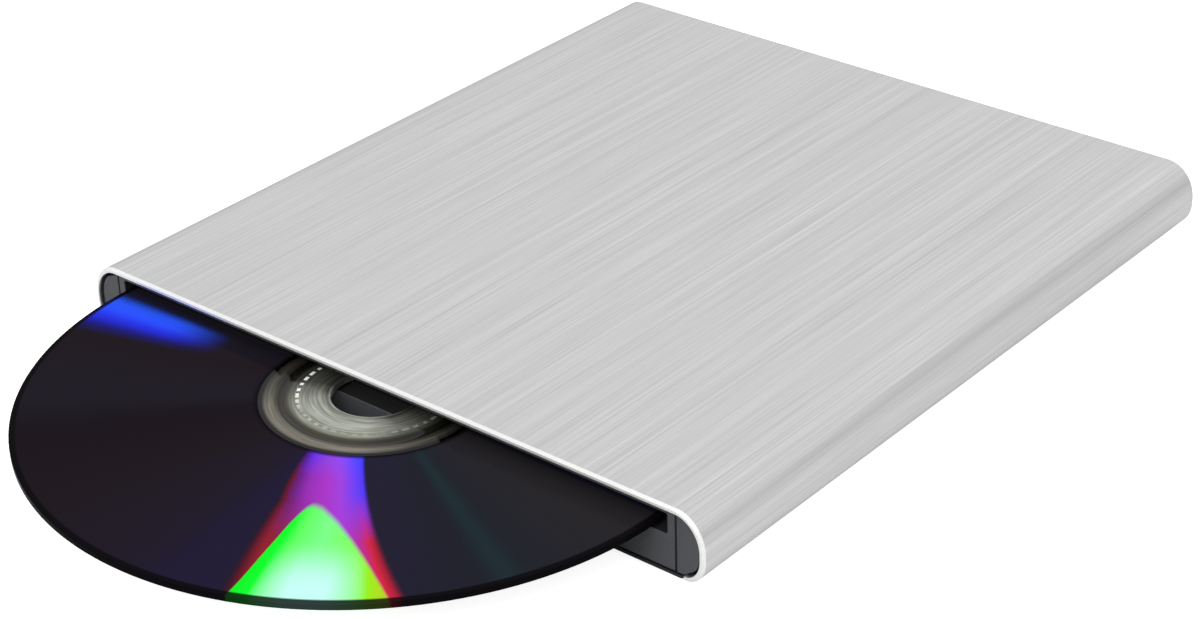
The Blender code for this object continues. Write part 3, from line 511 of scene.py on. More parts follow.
@dataclass(frozen=True)
class RecordedLayer:
    """A recordable disc's dark dye over its mirror, under clear polycarbonate.

    The grooves split light, and that light is painted into the colour: a violet to green fan
    and a blue wedge of painted diffraction stand on a near black mirror. A groove's fan runs
    through the hub, so the pattern repeats after half a turn. Angles are degrees, from -180
    at the start of a half turn to 0 at its end, and radii are millimetres.
    """

    # The material holds the dye's own near black and painted diffraction colours.
    name: str = "recordable_disc_dye"
    # The near black ground, round half a turn.
    ground: Stops = (
        (0.00, "#1f1d26"), (0.09, "#1d161c"), (0.22, "#1d1a23"), (0.27, "#19121a"), (0.40, "#1d171c"),
        (0.53, "#1f1928"), (0.57, "#201a33"), (0.77, "#211f30"), (0.83, "#1f2029"), (0.85, "#1e2c33"),
        (0.87, "#20222a"), (0.96, "#262427"))
    # What each radius gives: the angles of the fan's left and right sides, the left one as a sum
    # of two, and how much of each layer shows.
    by_radius: tuple[tuple[str, Span], ...] = (
        ("left_near", Span(20.0, 34.0, -80.0, -73.0)), ("left_far", Span(34.0, 60.0, 0.0, 3.6)),
        ("right", Span(18.0, 59.0, -51.2, -41.8)), ("middle_fan", Span(20.0, 27.0)),
        ("outer_fan", Span(31.0, 44.0)), ("pale", Span(43.0, 56.0, easing=Easing.SMOOTH)),
        ("wedge", Span(31.0, 45.0, easing=Easing.SMOOTH)),
        ("rim", Span(58.7, 59.2, 0.0, 0.96, Easing.SMOOTH)),
        ("lead_in", Span(20.6, 19.6, 0.0, 0.9, Easing.SMOOTH)))
    # The painted diffraction fan from its left side to its right, near the hub, halfway out and far out.
    fans: tuple[Stops, Stops, Stops] = (
        ((0.0, "#1e1a2c"), (0.08, "#481e9a"), (0.20, "#6a34ec"), (0.42, "#8a44de"), (0.60, "#8a4af2"),
         (0.80, "#5c48ff"), (0.93, "#4440ff"), (1.0, "#1e1b50")),
        ((0.0, "#1c171b"), (0.07, "#64182c"), (0.17, "#6c2288"), (0.30, "#942eb2"), (0.50, "#a735c2"),
         (0.68, "#9e40d8"), (0.82, "#7440ec"), (0.94, "#523af0"), (1.0, "#201a40")),
        ((0.0, "#1c171b"), (0.05, "#4a1628"), (0.13, "#8c202c"), (0.24, "#8a2444"), (0.70, "#a83ad0"),
         (0.83, "#b0309a"), (0.91, "#cc2440"), (1.0, "#2a1824")))
    fan_fade: Stops = ((0.0, "#000000"), (0.06, "#ffffff"), (0.95, "#ffffff"), (1.0, "#000000"))
    # Where the painted green diffraction dome inside the fan begins: angle and radius, and the ranges of
    # both.
    dome_edge: tuple[Point, ...] = (
        (-70.0, 70.0), (-68.0, 59.0), (-66.5, 45.0), (-65.0, 37.0), (-63.5, 34.3), (-62.0, 34.0),
        (-57.0, 36.6), (-53.0, 40.6), (-49.0, 46.8), (-46.0, 54.0), (-44.5, 59.0), (-42.0, 70.0))
    dome_angles: Point = (-70.0, -42.0)
    dome_radii: Point = (30.0, 70.0)
    dome_blur: Span = Span(-0.8, 1.8, easing=Easing.SMOOTH)
    # The painted diffraction dome's colours from its left to its right, and its pale middle.
    green_angles: Span = Span(-70.0, -44.0)
    green: Stops = (
        (0.0, "#0ce020"), (0.20, "#10f82c"), (0.30, "#60fc60"), (0.50, "#7afc88"), (0.70, "#78fb60"),
        (0.84, "#8cf020"), (0.98, "#b8c81c"))
    pale_band: Stops = ((0.18, "#000000"), (0.40, "#ffffff"), (0.62, "#ffffff"), (0.86, "#000000"))
    pale: str = "#c2fff0"
    # The painted blue diffraction wedge at the start of the half turn.
    wedge: Stops = (
        (0.012, "#1c2040"), (0.026, "#2a58f4"), (0.040, "#2a50ff"), (0.055, "#2430e0"), (0.072, "#1c1a90"),
        (0.090, "#1d161c"))
    wedge_fade: Stops = ((0.0, "#202020"), (0.02, "#ffffff"), (0.06, "#ffffff"), (0.092, "#000000"))
    rim: str = "#0b090c"
    lead_in: str = "#0c0a10"
    roughness: float = 0.12
    specular: float = 0.008

    def build(self) -> Material:
        """Make the material.

        Returns:
            The material, which reads the disc's polar map.
        """
        material, tree, shader = new_material(self.name)
        _, share, metres = read_polar(tree)
        radius = add_node(tree, "ShaderNodeMath", {0: metres, 1: 1.0 / MM}, operation="MULTIPLY").outputs[0]
        angle = add_node(tree, "ShaderNodeMapRange", Span(0.0, 1.0, -180.0, 0.0).inputs(share)).outputs[0]
        given = {}
        for name, span in self.by_radius:
            node = add_node(tree, "ShaderNodeMapRange", span.inputs(radius),
                            interpolation_type=span.easing.value)
            given[name] = node.outputs[0]

        fade, fan = self._fan(tree, angle, given)
        dome, green = self._dome(tree, angle, radius, given["pale"])
        blue_fade, ground, blue = [
            set_stops(add_node(tree, "ShaderNodeValToRGB", {"Fac": share}), stops)
            for stops in (self.wedge_fade, self.ground, self.wedge)]
        blue_share = add_node(tree, "ShaderNodeMath", {0: blue_fade, 1: given["wedge"]}, operation="MULTIPLY")
        # Painted diffraction fan, dome and wedge over the dye's near black ground, then the disc's own rim
        # and lead-in bands.
        color = layered(tree, ground, (
            (fade, layered(tree, fan, ((dome, green),))), (blue_share.outputs[0], blue),
            (given["rim"], linear(self.rim)), (given["lead_in"], linear(self.lead_in))))
        set_inputs(tree, shader, {
            "Base Color": color, "Roughness": self.roughness, "Specular IOR Level": self.specular})
        return material

    def _fan(self, tree: Tree, angle: Socket, given: dict[str, Socket]) -> tuple[Socket, Socket]:
        """Draw the violet and red fan of painted diffraction.

        Args:
            tree: The material's node tree.
            angle: The angle in degrees.
            given: What the radius gives, by name.

        Returns:
            How much of the fan shows, and its colour.
        """
        left = add_node(tree, "ShaderNodeMath", {0: given["left_near"], 1: given["left_far"]},
                        operation="ADD")
        across = add_node(tree, "ShaderNodeMapRange", {
            "Value": angle, "From Min": left.outputs[0], "From Max": given["right"]}).outputs[0]
        near, middle, far, fade = [
            set_stops(add_node(tree, "ShaderNodeValToRGB", {"Fac": across}), stops)
            for stops in (*self.fans, self.fan_fade)]
        return fade, layered(tree, near, ((given["middle_fan"], middle), (given["outer_fan"], far)))

    def _dome(self, tree: Tree, angle: Socket, radius: Socket, pale_share: Socket) -> tuple[Socket, Socket]:
        """Draw the green dome of painted diffraction that opens outwards inside the fan.

        Args:
            tree: The material's node tree.
            angle: The angle in degrees.
            radius: The radius in mm.
            pale_share: How pale the radius makes the dome's middle.

        Returns:
            How much of the dome shows, and its colour.
        """
        (first, last), (low, high) = self.dome_angles, self.dome_radii
        place = add_node(tree, "ShaderNodeMapRange", Span(first, last).inputs(angle))
        edge = add_node(tree, "ShaderNodeFloatCurve", {"Value": place.outputs[0]})
        curve = edge.mapping.curves[0]
        while len(curve.points) < len(self.dome_edge):
            curve.points.new(0.5, 0.5)
        for point, (degrees, reach) in zip(curve.points, self.dome_edge):
            point.location = ((degrees - first) / (last - first), (reach - low) / (high - low))
        edge.mapping.update()
        start = add_node(tree, "ShaderNodeMapRange", Span(0.0, 1.0, low, high).inputs(edge.outputs[0]))
        above = add_node(tree, "ShaderNodeMath", {0: radius, 1: start.outputs[0]}, operation="SUBTRACT")
        dome = add_node(tree, "ShaderNodeMapRange", self.dome_blur.inputs(above.outputs[0]),
                        interpolation_type=self.dome_blur.easing.value)
        across = add_node(tree, "ShaderNodeMapRange", self.green_angles.inputs(angle)).outputs[0]
        green, band = [set_stops(add_node(tree, "ShaderNodeValToRGB", {"Fac": across}), stops)
                       for stops in (self.green, self.pale_band)]
        pale = add_node(tree, "ShaderNodeMath", {0: band, 1: pale_share}, operation="MULTIPLY")
        return dome.outputs[0], layered(tree, green, ((pale.outputs[0], linear(self.pale)),))


@dataclass(frozen=True)
class ClearHub:
    """Clear moulded polycarbonate round the hole, over a grey unprinted band.

    Turned rings stand in slightly other tones. The colour also carries a painted highlight in
    the middle of each half turn and painted shade at its ends, along the line of the slot.
    """

    name: str = "clear_polycarbonate_hub"
    inner_mm: float = 7.5
    outer_mm: float = 19.5
    # Tones from the hole to the dye, and the painted highlight and shade round half a turn.
    rings: Stops = (
        (0.00, "#c2c3ba"), (0.04, "#74766c"), (0.12, "#9fa297"), (0.30, "#abaea3"), (0.45, "#a6a99c"),
        (0.55, "#85877b"), (0.60, "#48463a"), (0.72, "#2e2b26"), (0.76, "#6a665b"), (0.86, "#827d71"),
        (0.92, "#625e56"), (0.95, "#161416"), (1.00, "#121012"))
    painted_highlight_and_shade: Stops = (
        # Painted highlight in the middle of each half turn, painted shade at its ends.
        (0.0, "#606060"), (0.10, "#6c6c6c"), (0.26, "#e0e0e0"), (0.40, "#ffffff"), (0.70, "#fafafa"),
        (0.84, "#a0a0a0"), (1.0, "#5c5c5c"))
    # Turning marks: how many in a turn, how far apart, and how far they change the tone.
    marks_per_turn: float = 9.0
    marks_mm: float = 0.5
    marks: Span = Span(0.32, 0.68, 0.55, 1.25)
    roughness: float = 0.08
    ior: float = 1.58
    specular: float = 0.12

    def build(self) -> Material:
        """Make the material.

        Returns:
            The material, which reads the disc's polar map.
        """
        material, tree, shader = new_material(self.name)
        polar, half_turn, radius = read_polar(tree)
        across = Span(self.inner_mm * MM, self.outer_mm * MM)
        share = add_node(tree, "ShaderNodeMapRange", across.inputs(radius))
        rings = set_stops(add_node(tree, "ShaderNodeValToRGB", {"Fac": share.outputs[0]}), self.rings)
        painted_highlight_and_shade = set_stops(add_node(tree, "ShaderNodeValToRGB", {"Fac": half_turn}), self.painted_highlight_and_shade)
        turned = add_node(tree, "ShaderNodeMapping", {
            "Vector": polar, "Scale": (self.marks_per_turn, 1.0 / (self.marks_mm * MM), 1.0)})
        noise = add_node(tree, "ShaderNodeTexNoise", {
            "Vector": turned.outputs["Vector"], "Scale": 1.0, "Detail": 2.0, "Roughness": 0.6})
        tone = add_node(tree, "ShaderNodeMapRange", self.marks.inputs(noise.outputs[0]))
        # The turning marks' tone times the painted highlight and shade.
        level = add_node(tree, "ShaderNodeMath", {0: tone.outputs[0], 1: painted_highlight_and_shade}, operation="MULTIPLY")
        shaded = add_node(tree, "ShaderNodeHueSaturation", {"Color": rings, "Value": level.outputs[0]})
        set_inputs(tree, shader, {
            "Base Color": shaded.outputs["Color"], "Roughness": self.roughness, "IOR": self.ior,
            "Specular IOR Level": self.specular})
        return material


@dataclass(frozen=True)
class MouldedMark:
    """Small facets moulded into the hub, with a painted highlight on those on the left."""

    name: str = "moulded_polycarbonate_facets"
    # From the painted highlight on the left to the facets' own grey.
    stops: Stops = ((0.0, "#f4f4ee"), (1.0, "#7e8075"))
    painted_highlight_to_mm: float = -11.5
    plain_from_mm: float = -6.0
    roughness: float = 0.25

    def build(self) -> Material:
        """Make the material.

        Returns:
            The material, which reads Object coordinates.
        """
        material, tree, shader = new_material(self.name)
        place = add_node(tree, "ShaderNodeTexCoord")
        parts = add_node(tree, "ShaderNodeSeparateXYZ", {"Vector": place.outputs["Object"]})
        across = Span(self.painted_highlight_to_mm * MM, self.plain_from_mm * MM)
        share = add_node(tree, "ShaderNodeMapRange", across.inputs(parts.outputs["X"]))
        ramp = add_node(tree, "ShaderNodeValToRGB", {"Fac": share.outputs[0]})
        set_inputs(tree, shader, {"Base Color": set_stops(ramp, self.stops), "Roughness": self.roughness})
        return material


# ---- the drive's measures -------------------------------------------------------------


@dataclass(frozen=True)
class Measures:
    """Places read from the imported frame, in metres, with the sleeve's wall and corners."""

    shell_low: Vector
    shell_high: Vector
    disc_low: Vector
    disc_high: Vector
    bezel_low: Vector
    bezel_high: Vector
    wall: float = 1.0 * MM
    # Width and height of the quarter ellipse at the upper and lower corners.
    top_corner: Point = (5.8 * MM, 6.5 * MM)
    low_corner: Point = (4.0 * MM, 4.8 * MM)

    @classmethod
    def from_frame(cls) -> "Measures":
        """Read the boxes of the nodes that set the looks' places."""
        return cls(*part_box("outer_shell"), *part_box("disc"), *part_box("bezel"))

    @property
    def half_width(self) -> float:
        """Half the sleeve's width."""
        return self.shell_high.x

    @property
    def disc_centre(self) -> Vector:
        """The disc's own centre."""
        return (self.disc_low + self.disc_high) / 2.0

    def section(self, inset: float, steps: int) -> list[Point]:
        """The sleeve's right-hand section from its lip to its flat top.

        Args:
            inset: Distance in from the outer surface.
            steps: Steps for each quarter ellipse.

        Returns:
            Points in X and Z.
        """
        points: list[Point] = []
        half, low, high = self.half_width, self.low_corner, self.top_corner
        corner_places = (
            (half - low[0], self.shell_low.z + low[1], low, -math.pi / 2.0),
            (half - high[0], self.shell_high.z - high[1], high, 0.0))
        for x, z, (wide, tall), start in corner_places:
            for i in range(steps + 1):
                turn = start + math.pi / 2.0 * i / steps
                points.append((x + (wide - inset) * math.cos(turn), z + (tall - inset) * math.sin(turn)))
        return points


# ---- sub-assemblies -------------------------------------------------------------------


@dataclass
class Sleeve:
    """The extruded aluminium sleeve with its bright front chamfer."""

    measures: Measures
    chamfer: float = 0.45 * MM
    lip_edge: float = 0.1 * MM
    corner_steps: int = 20
    top_steps: int = 12
    rings: int = 24
    # Bands between loops, counted from the inner front edge, that the cutter turned bright:
    # the flat rim and its chamfer.
    bright_bands: tuple[int, int] = (1, 2)
    sharp: float = 22.0

    def build(self) -> Piece:
        """Build the sleeve as one closed skin of outer, rim and inner loops.

        Returns:
            The sleeve.
        """
        m, cut = self.measures, self.chamfer
        y0, y1 = m.shell_low.y, m.shell_high.y
        body = [(0.0, y0 + cut + (y1 - y0 - 2.0 * cut) * i / self.rings) for i in range(self.rings + 1)]
        loops = [(m.wall, y0 + cut / 2.0), (m.wall - self.lip_edge, y0), (cut, y0)] + body
        loops += [(cut, y1), (m.wall - self.lip_edge, y1), (m.wall, y1 - cut / 2.0)]
        shape = bmesh.new()
        columns = [[shape.verts.new((x, y, z)) for x, z in self._across(inset)] for inset, y in loops]
        chart = shape.loops.layers.uv.new("sleeve")
        arc = self._arc_lengths()
        for index, (near, far) in enumerate(zip(columns, columns[1:] + columns[:1])):
            for j in range(len(near) - 1):
                face = shape.faces.new((near[j], near[j + 1], far[j + 1], far[j]))
                face.material_index = int(index in self.bright_bands)
                for corner, k in zip(face.loops, (j, j + 1, j + 1, j)):
                    corner[chart].uv = (arc[k], corner.vert.co.y)
        # One long face closes each lip's edge.
        for end in (0, -1):
            shape.faces.new([column[end] for column in columns])
        bmesh.ops.recalc_face_normals(shape, faces=shape.faces)
        finishes = [BrushedAluminium().build(), DiamondCutRim().build()]
        return mesh_object("sleeve", shape, finishes, self.sharp)

    def _across(self, inset: float) -> list[Point]:
        """The open section from the right lip, over the flat top, to the left lip.

        Args:
            inset: Distance in from the outer surface.

        Returns:
            Points in X and Z.
        """
        right = self.measures.section(inset, self.corner_steps)
        x, z = right[-1]
        top = [(x * (1.0 - 2.0 * i / self.top_steps), z) for i in range(1, self.top_steps)]
        return right + top + [(-x, z) for x, z in reversed(right)]

    def _arc_lengths(self) -> list[float]:
        """Measure round the outer section.

        Returns:
            The distance from the right lip to each of the section's points.
        """
        across = self._across(0.0)
        lengths = [0.0]
        for (x0, z0), (x1, z1) in zip(across, across[1:]):
            lengths.append(lengths[-1] + math.hypot(x1 - x0, z1 - z0))
        return lengths


@dataclass
class Bezel:
    """The dark moulded front in three pieces, with a thin seam between them."""

    measures: Measures
    finish: Material
    # The felt's black, given to the slot's inner walls as painted shade.
    painted_shade_lining: Material
    seam: float = 63.0 * MM
    seam_gap: float = 0.4 * MM
    slot_half: float = 61.4 * MM
    slot_below: float = 0.7 * MM
    slot_above: float = 1.8 * MM
    slot_corner: float = 0.4 * MM
    slot_corner_steps: int = 4
    edge: float = 0.12 * MM
    end_gap: float = 0.42 * MM
    end_steps: int = 16
    # An end's flat bottom runs into its round side from the first distance inside the lip's
    # corner to the second distance outside it.
    end_run: Point = (0.5 * MM, 0.9 * MM)

    def build(self) -> list[Piece]:
        """Build the centre piece and the two rounded ends.

        Returns:
            The three pieces.
        """
        m = self.measures
        half = self.seam - self.seam_gap / 2.0
        low, high = m.bezel_low.z, m.bezel_high.z
        front, back = m.bezel_low.y, m.bezel_high.y
        slot_low, slot_high = m.disc_low.z - self.slot_below, m.disc_high.z + self.slot_above
        outline = [(-half, low), (half, low), (half, high), (-half, high)]
        slot = self._slot_outline(slot_low, slot_high)
        centre = prism("front_bezel", [outline, slot], front, back, self.edge, self.finish)
        self._shade_slot_walls(centre, slot_low, slot_high)
        pieces = [centre]
        for hand in Handed:
            points = [(hand.value * x, z) for x, z in self._end_outline(low)]
            name = f"bezel_end_{hand.name.lower()}_skin"
            pieces.append(prism(name, [points], front, back, self.edge, self.finish))
        return pieces

    def _shade_slot_walls(self, piece: Piece, low: float, high: float) -> None:
        """Give the slot's inner walls the felt's black, as painted shade where the slot lies in shadow.

        Args:
            piece: The bezel's centre piece.
            low: Z of the slot's lower edge.
            high: Z of the slot's upper edge.
        """
        piece.data.materials.append(self.painted_shade_lining)
        reach = 1.5 * self.edge
        # Faces that look forwards more than this keep the bezel's own finish.
        frontal = 0.3
        for face in piece.data.polygons:
            x, _, z = face.center
            inside = abs(x) < self.slot_half + reach and low - reach < z < high + reach
            if inside and abs(face.normal.y) < frontal:
                face.material_index = 1

    def _end_outline(self, low: float) -> list[Point]:
        """Draw the rounded end inside the sleeve and outside the seam.

        Args:
            low: Z of the bezel's bottom.

        Returns:
            The right-hand end's points in X and Z.
        """
        m = self.measures
        seam = self.seam + self.seam_gap / 2.0
        inset = m.wall + self.end_gap
        lip = m.half_width - m.low_corner[0]
        curve = [(x, z) for x, z in m.section(inset, self.end_steps) if x > lip + self.end_run[1]]
        reach = max(0.0, (seam - (m.half_width - m.top_corner[0])) / (m.top_corner[0] - inset))
        top = m.shell_high.z - m.top_corner[1] + (m.top_corner[1] - inset) * math.sqrt(1.0 - reach ** 2)
        return [(seam, low), (lip - self.end_run[0], low)] + curve + [(seam, top)]

    def _slot_outline(self, low: float, high: float) -> list[Point]:
        """Draw the slot with its round corners.

        Args:
            low: Z of its lower edge.
            high: Z of its upper edge.

        Returns:
            Points in X and Z.
        """
        points: list[Point] = []
        radius, half = self.slot_corner, self.slot_half - self.slot_corner
        top, bottom = high - radius, low + radius
        for quarter, (x, z) in enumerate(((half, top), (-half, top), (-half, bottom), (half, bottom))):
            for i in range(self.slot_corner_steps + 1):
                turn = math.pi / 2.0 * (quarter + i / self.slot_corner_steps)
                points.append((x + radius * math.cos(turn), z + radius * math.sin(turn)))
        return points


@dataclass
class Disc:
    """The disc: clear hub, dye-covered recording area with painted diffraction colours, and clear outer edge.
    """

    measures: Measures
    outer: float = 60.0 * MM
    hole: float = 7.5 * MM
    hub: float = 19.5 * MM
    # The hub's moulded rings: radius, and height over the flat face.
    relief: tuple[Point, ...] = (
        (11.0 * MM, 0.0), (15.0 * MM, 0.0), (15.3 * MM, -0.10 * MM), (16.7 * MM, -0.10 * MM),
        (17.0 * MM, 0.08 * MM), (17.5 * MM, 0.08 * MM), (17.8 * MM, 0.0))
    # Rings of faces over the dye, and the width of the last stretch outside them.
    bands: int = 16
    last_stretch: float = 0.3 * MM
    segments: int = 180
    edge: float = 0.12 * MM
    sharp: float = 35.0

    def build(self) -> Piece:
        """Turn the disc's section about its centre and lay its polar map.

        Returns:
            The disc.
        """
        half = (self.measures.disc_high.z - self.measures.disc_low.z) / 2.0
        profile = self._profile(half)
        shape = bmesh.new()
        rings = turned_rings(shape, profile, self.measures.disc_centre, self.segments)
        chart = shape.loops.layers.uv.new("polar")
        for i, (first, second) in enumerate(zip(rings, rings[1:] + rings[:1])):
            r0, r1 = profile[i][0], profile[(i + 1) % len(profile)][0]
            for k in range(self.segments):
                after = (k + 1) % self.segments
                face = shape.faces.new((first[k], first[after], second[after], second[k]))
                face.material_index = int(max(r0, r1) > self.hub + MERGE_DISTANCE)
                turns = (k, k + 1, k + 1, k)
                for corner, turn, radius in zip(face.loops, turns, (r0, r0, r1, r1)):
                    corner[chart].uv = (turn / self.segments, radius)
        bmesh.ops.recalc_face_normals(shape, faces=shape.faces)
        return mesh_object("optical_disc", shape, [ClearHub().build(), RecordedLayer().build()], self.sharp)

    def _profile(self, half: float) -> list[Point]:
        """Draw the disc's closed section, from the hole's upper edge outwards and back below.

        Args:
            half: Half the disc's thickness.

        Returns:
            Radius and height of each point.
        """
        edge, reach = self.edge, self.outer - self.last_stretch - self.hub
        top = [(self.hole, half - edge), (self.hole + edge, half)]
        top += [(radius, half + height) for radius, height in self.relief] + [(self.hub, half)]
        outer = [(self.hub + reach * i / self.bands, half) for i in range(1, self.bands + 1)]
        outer += [(self.outer - edge, half), (self.outer, half - edge)]
        under = [(self.outer, -half + edge)] + [(radius, -half) for radius, _ in reversed(outer[:-1])]
        return top + outer + under + [(self.hub, -half), (self.hole + edge, -half), (self.hole, -half + edge)]


@dataclass
class HubTicks:
    """A ring of short moulded marks round the hub, with a painted highlight at the left, made by Geometry
    Nodes.
    """

    measures: Measures
    finish: Material
    radius: float = 13.0 * MM
    count: int = 44
    length: float = 1.1 * MM
    width: float = 0.6 * MM
    height: float = 0.02 * MM
    lift: float = 0.012 * MM
    # Shortest and longest tick, as shares of the length.
    length_shares: Point = (0.55, 1.25)
    seed: int = 7

    def build(self) -> Piece:
        """Set a thin tick at each step round a circle and turn the result into a mesh.

        Returns:
            The ring of ticks.
        """
        tree, given = geometry_tree("hub_ticks", {
            "Radius": "Float", "Length": "Float", "Width": "Float", "Count": "Int", "Seed": "Int"})
        circle = add_node(tree, "GeometryNodeMeshCircle", {
            "Vertices": given["Count"], "Radius": given["Radius"]})
        size = add_node(tree, "ShaderNodeCombineXYZ", {
            "X": given["Width"], "Y": given["Length"], "Z": self.height})
        tick = add_node(tree, "GeometryNodeMeshCube", {"Size": size.outputs[0]})
        place = add_node(tree, "GeometryNodeInputPosition")
        facing = add_node(tree, "FunctionNodeAlignRotationToVector", {"Vector": place.outputs[0]}, axis="X")
        shortest, longest = self.length_shares
        share = add_node(tree, "FunctionNodeRandomValue", {
            RANDOM_LOW: shortest, RANDOM_HIGH: longest, "Seed": given["Seed"]}, data_type="FLOAT")
        scale = add_node(tree, "ShaderNodeCombineXYZ", {
            "X": 1.0, "Y": share.outputs[RANDOM_RESULT], "Z": 1.0})
        spread = add_node(tree, "GeometryNodeInstanceOnPoints", {
            "Points": circle.outputs[0], "Instance": tick.outputs["Mesh"], "Rotation": facing.outputs[0],
            "Scale": scale.outputs[0]})
        piece = grown(mesh_object("hub_ticks", bmesh.new(), [self.finish]), tree, spread, self.finish, {
            "Radius": self.radius, "Length": self.length, "Width": self.width, "Count": self.count,
            "Seed": self.seed})
        centre = self.measures.disc_centre
        piece.data.transform(Matrix.Translation((centre.x, centre.y, self.measures.disc_high.z + self.lift)))
        return piece


@dataclass
class CoverScrews:
    """Low-headed cross screws of the bottom cover, one form set at four places."""

    finish: Material
    names: tuple[str, ...] = ("cover_screw_1", "cover_screw_2", "cover_screw_3", "cover_screw_4")
    # The head's flat face and the shank, as shares of the head's radius.
    flat_share: float = 0.6
    shank_share: float = 0.62
    crown: float = 0.10 * MM
    crown_rise: float = 0.03 * MM
    head_height: float = 0.34 * MM
    head_slope: float = 0.02 * MM
    tip: float = 0.1 * MM
    cross_length: float = 1.15 * MM
    cross_width: float = 0.34 * MM
    cross_depth: float = 0.28 * MM
    steps: int = 32
    # The screws stop at random turns, up to this one.
    last_turn: float = math.pi
    seed: int = 3

    def build(self) -> Piece:
        """Set one screw at each packed screw's place with Geometry Nodes.

        Returns:
            All four screws as one mesh.
        """
        boxes = [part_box(name) for name in self.names]
        radius = (boxes[0][1].x - boxes[0][0].x) / 2.0
        height = boxes[0][1].z - boxes[0][0].z
        form = self._form(radius, height)
        spots = bpy.data.meshes.new("screw_places")
        spots.from_pydata([((a.x + b.x) / 2.0, (a.y + b.y) / 2.0, a.z) for a, b in boxes], [], [])
        piece = bpy.data.objects.new("cover_screws", spots)
        bpy.context.scene.collection.objects.link(piece)

        tree, given = geometry_tree("screw_set", {
            "Geometry": "Geometry", "Screw": "Object", "Turn": "Float", "Seed": "Int"})
        source = add_node(tree, "GeometryNodeObjectInfo", {"Object": given["Screw"]})
        angle = add_node(tree, "FunctionNodeRandomValue", {
            RANDOM_LOW: 0.0, RANDOM_HIGH: given["Turn"], "Seed": given["Seed"]}, data_type="FLOAT")
        turn = add_node(tree, "ShaderNodeCombineXYZ", {"Z": angle.outputs[RANDOM_RESULT]})
        spread = add_node(tree, "GeometryNodeInstanceOnPoints", {
            "Points": given["Geometry"], "Instance": source.outputs["Geometry"], "Rotation": turn.outputs[0]})
        grown(piece, tree, spread, self.finish, {"Screw": form, "Turn": self.last_turn, "Seed": self.seed})
        bpy.data.objects.remove(form, do_unlink=True)
        return piece

    def _form(self, radius: float, height: float) -> Piece:
        """One screw standing on its head at the origin, with a cross cut into the head.

        Args:
            radius: The head's radius.
            height: The whole screw's height.

        Returns:
            The screw.
        """
        shank = radius * self.shank_share
        profile = [
            (0.0, 0.0), (radius * self.flat_share, 0.0), (radius - self.crown, self.crown_rise),
            (radius, self.crown + self.crown_rise), (radius, self.head_height),
            (shank, self.head_height + self.head_slope), (shank, height - self.tip),
            (shank - self.tip, height), (0.0, height)]
        shape = bmesh.new()
        rings = turned_rings(shape, profile, Vector((0.0, 0.0, 0.0)), self.steps)
        for low, high in zip(rings, rings[1:]):
            for k in range(self.steps):
                after = (k + 1) % self.steps
                if len(low) == 1:
                    shape.faces.new((low[0], high[k], high[after]))
                elif len(high) == 1:
                    shape.faces.new((low[k], low[after], high[0]))
                else:
                    shape.faces.new((low[k], low[after], high[after], high[k]))
        bmesh.ops.recalc_face_normals(shape, faces=shape.faces)
        screw = mesh_object("screw_form", shape, [self.finish])
        length, width, depth = 2.0 * self.cross_length, self.cross_width, 2.0 * self.cross_depth
        for size in ((length, width, depth), (width, length, depth)):
            self._cut(screw, size)
        screw.data.set_sharp_from_angle(angle=math.radians(30.0))
        return screw

    def _cut(self, screw: Piece, size: tuple[float, float, float]) -> None:
        """Cut a block that is centred on the origin out of the screw.

        Args:
            screw: The screw.
            size: The block's size along each axis.
        """
        block = bmesh.new()
        bmesh.ops.create_cube(block, size=1.0)
        bmesh.ops.scale(block, vec=size, verts=block.verts)
        tool = mesh_object("cross_cutter", block, [self.finish])
        cut = screw.modifiers.new("Cross", "BOOLEAN")
        cut.operation = "DIFFERENCE"
        cut.solver = "EXACT"
        cut.object = tool
        baked(screw)
        bpy.data.objects.remove(tool, do_unlink=True)


# ---- studio ---------------------------------------------------------------------------


@dataclass(frozen=True)
class SoftBox:
    """A rectangular area light aimed at the drive, in metres and watts."""

    name: str
    place: tuple[float, float, float]
    size: Point
    power: float

    def build(self) -> None:
        """Add the light to the scene."""
        light = bpy.data.lights.new(self.name, "AREA")
        light.shape = "RECTANGLE"
        light.size, light.size_y = self.size
        light.energy = self.power
        lamp = bpy.data.objects.new(self.name, light)
        bpy.context.scene.collection.objects.link(lamp)
        lamp.location = self.place
        lamp.rotation_euler = (-Vector(self.place)).to_track_quat("-Z", "Y").to_euler()


